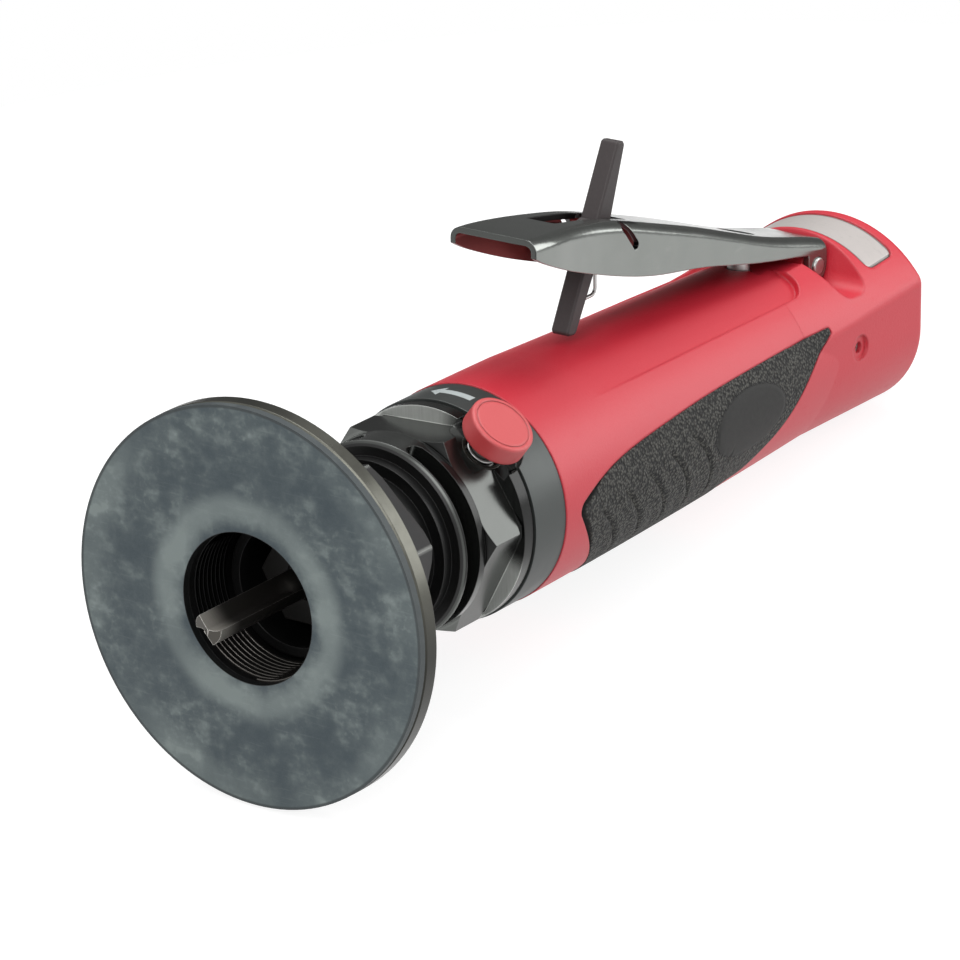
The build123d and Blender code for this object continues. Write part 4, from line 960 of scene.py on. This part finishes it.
def grip_cover():
    """The grip's rubber, laid on the outline of the CAD grip. The halves meet under the tool."""
    skin = skin_of("grip")
    front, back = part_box("grip")[0][0] / MM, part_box("grip")[1][0] / MM
    gap_start, gap_end = (front + x for x in FRONT_GAP_X)
    spans = grip_spans(skin, front, back)
    rim = rim_places(spans)
    shape = bmesh.new()
    rim_layer = shape.verts.layers.float.new("rim")
    for side in (1, -1):
        mirror = Matrix.Diagonal((1, side, 1))
        outer, inner = [], []
        for x, top, low, barrel, last in spans:
            outer.append([])
            inner.append([])
            for j in range(COVER_ROWS + 1):
                share = j / COVER_ROWS
                share -= ROW_CROWDING * math.sin(2 * math.pi * share) / (2 * math.pi)
                turn = top + (low - top) * share
                radius = barrel
                if x >= ROUND_BARREL_END:
                    radius = grip_reach(skin, x, min(turn, last)) or barrel
                off_rim = rim.find(rim_place(x, turn))[2]
                off_rim /= 1 + FRONT_GAP * (1 - ease(x, gap_start, gap_end))
                relief = groove_relief(x, turn, radius)
                relief += oval_rise(x, radius * math.cos(math.radians(turn)))
                face = radius + relief - COVER_ROUND * (1 - ease(off_rim, 0.0, COVER_ROUND_WIDTH))
                for row, height in ((outer[-1], face), (inner[-1], radius - COVER_WALL)):
                    vert = shape.verts.new(mirror @ (Vector((x, 0, 0)) + away(turn) * height) * MM)
                    vert[rim_layer] = off_rim
                    row.append(vert)
        sew(shape, outer, inner, spans)
    bmesh.ops.remove_doubles(shape, verts=shape.verts, dist=SEAM * MM)
    mesh = smooth_mesh(shape, "grip_cover", COVER_CREASE)
    mesh.materials.append(SLOT_FINISHES["grip_rubber"])
    piece = add_piece("grip_cover", mesh)
    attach(piece, "body")
    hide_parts("grip")


grip_cover()


# Label: a thin patch seated on the floor of the recess behind the lever

LABEL_THICK, LABEL_SUNK = 0.2, 0.05
LABEL_ALONG, LABEL_ACROSS = 14, 48


def label_faces(count):
    """Top, underside and edge of the patch. The underside's places come count after those of the top."""
    row = LABEL_ACROSS + 1
    faces = []
    for i in range(LABEL_ALONG):
        for j in range(LABEL_ACROSS):
            a = i * row + j
            faces.append((a, a + row, a + row + 1, a + 1))
            faces.append((count + a, count + a + 1, count + a + row + 1, count + a + row))
    rim = list(range(row)) + [i * row + LABEL_ACROSS for i in range(1, LABEL_ALONG + 1)]
    rim += [LABEL_ALONG * row + j for j in range(LABEL_ACROSS - 1, -1, -1)]
    rim += [i * row for i in range(LABEL_ALONG - 1, 0, -1)]
    for a, b in zip(rim, rim[1:] + rim[:1]):
        faces.append((a, b, count + b, count + a))
    return faces


def rear_label():
    """Blank patch with round corners, dropped on the housing from above."""
    seat = skin_of("housing")
    top, under = [], []
    for i in range(LABEL_ALONG + 1):
        x = LABEL_FRONT + (LABEL_BACK - LABEL_FRONT) * (1 - math.cos(math.pi * i / LABEL_ALONG)) / 2
        short = max(0.0, LABEL_CORNER - min(x - LABEL_FRONT, LABEL_BACK - x))
        half = LABEL_HALF - LABEL_CORNER + math.sqrt(LABEL_CORNER ** 2 - short ** 2)
        for j in range(LABEL_ACROSS + 1):
            y = half * (2 * j / LABEL_ACROSS - 1)
            spot, normal = seat.ray_cast(Vector((x, y, OUTSIDE)) * MM, Vector((0, 0, -1)))[:2]
            top.append(spot + normal * (LABEL_THICK * MM))
            under.append(spot - normal * (LABEL_SUNK * MM))
    mesh = bpy.data.meshes.new("rear_label")
    mesh.from_pydata(top + under, [], label_faces(len(top)))
    for face in mesh.polygons:
        face.use_smooth = face.index < 2 * LABEL_ALONG * LABEL_ACROSS
    mesh.materials.append(label_foil())
    piece = add_piece("rear_label", mesh)
    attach(piece, "body")


rear_label()


# Studio, in metres and watts

TOOL_MIDDLE = Vector((0.10, 0.0, 0.005))
SKY_LEVEL, CURTAIN_DARK, FLOOR_GLOW = 0.3, 0.88, 0.86
FAR_SIDE, UPWARD = (0.815, 0.579, 0.0), (0.0, 0.0, 1.0)
CURTAIN_FOOT, CURTAIN_HEAD = -0.2, 0.62
FLOOR_LIT, FLOOR_SHOWN = (0.55, 0.55, 0.55), (0.3, 0.3, 0.3)
FLOOR_FRONT, FLOOR_REAR = Vector((0.0046, 0, -0.0416)), Vector((0.2160, 0, -0.0210))
FLOOR_REACH, FLOOR_STEPS = 0.34, 72


def soft_box(name, towards, reach, size, power):
    """Square soft light at a distance from the middle of the tool, aimed at it."""
    direction = Vector(towards).normalized()
    lamp = bpy.data.lights.new(name, "AREA")
    lamp.shape = "SQUARE"
    lamp.size = size
    lamp.energy = power
    held = bpy.data.objects.new(name, lamp)
    aim = direction.to_track_quat("Z", "Y").to_matrix().to_4x4()
    held.matrix_world = Matrix.Translation(TOOL_MIDDLE + direction * reach) @ aim
    bpy.context.scene.collection.objects.link(held)


soft_box("right_box", towards=(0.70, -0.62, 0.36), reach=1.4, size=0.9, power=8.2)
soft_box("left_box", towards=(-0.75, -0.30, 0.58), reach=1.3, size=0.9, power=8.0)
soft_box("top_box", towards=(0.15, 0.10, 1.0), reach=1.2, size=0.9, power=10.5)


def ray_kinds(f):
    """Two shares: rays that see the studio, straight or through glass, and rays that mirror it."""
    camera, glossy, through = (f.add("LightPath", out="Is %s Ray" % kind)
                               for kind in ("Camera", "Glossy", "Transmission"))
    return camera.most(through), glossy


def studio_world():
    """White behind the tool; gloss mirrors a dark curtain above the floor at the far side of the studio."""
    f = Finish(bpy.data.worlds.new("studio"))
    seen, glossy = ray_kinds(f)
    looking = f.add("TexCoord", out="Generated")
    far_side = f.dot(looking, FAR_SIDE).above(0.45, 0.7)
    curtain = far_side * f.dot(looking, UPWARD).between(CURTAIN_FOOT, CURTAIN_HEAD, 0.12)
    mirrored = 1 - curtain * CURTAIN_DARK
    level = seen + (1 - seen) * (glossy * mirrored + (1 - glossy) * SKY_LEVEL)
    sky = f.add("Background", None, {"Color": (1, 1, 1), "Strength": level})
    f.add("OutputWorld", None, {"Surface": sky})
    bpy.context.scene.world = f.holder


def floor_finish():
    """Pale floor that reads as white and still keeps the tool's shadow."""
    f = finish("studio_floor")
    seen, glossy = ray_kinds(f)
    shown = seen.most(glossy)
    colour = f.blend(shown, FLOOR_LIT, FLOOR_SHOWN)
    pale = f.add("BsdfDiffuse", None, {"Color": colour})
    glow = f.add("Emission", None, {"Color": (1, 1, 1), "Strength": shown * FLOOR_GLOW})
    both = f.add("AddShader", None, {0: pale, 1: glow})
    f.add("OutputMaterial", None, {"Surface": both})
    return f.holder


def studio_floor():
    """The tool lies on the rim of its sole plate and the underside of its rear head."""
    slope = (FLOOR_REAR - FLOOR_FRONT).normalized()
    side = Vector((0, 1, 0))
    middle = (FLOOR_FRONT + FLOOR_REAR) / 2
    turns = [2 * math.pi * step / FLOOR_STEPS for step in range(FLOOR_STEPS)]
    rim = [middle + (slope * math.cos(turn) + side * math.sin(turn)) * FLOOR_REACH for turn in turns]
    mesh = bpy.data.meshes.new("studio_floor")
    mesh.from_pydata(rim, [], [range(FLOOR_STEPS)])
    mesh.materials.append(floor_finish())
    floor = add_piece("studio_floor", mesh)


studio_world()
studio_floor()


def photo_camera():
    """Camera at the photograph's viewing angle, solved on the tool's round edges."""
    lens = bpy.data.cameras.new("photo_camera")
    lens.sensor_width = 36.0
    lens.lens = 194.684
    lens.clip_end = 20.0
    held = bpy.data.objects.new("photo_camera", lens)
    right = Vector((0.575013, -0.818040, -0.013022))
    up = Vector((0.293572, 0.191447, 0.936570))
    back = Vector((-0.763659, -0.542363, 0.350238))
    place = Vector((-0.732491, -0.575812, 0.373937))
    aim = Matrix((right, up, back)).transposed().to_4x4()
    held.matrix_world = Matrix.Translation(place) @ aim
    bpy.context.scene.collection.objects.link(held)
    bpy.context.scene.camera = held


photo_camera()
bpy.context.scene.view_settings.view_transform = "Standard"
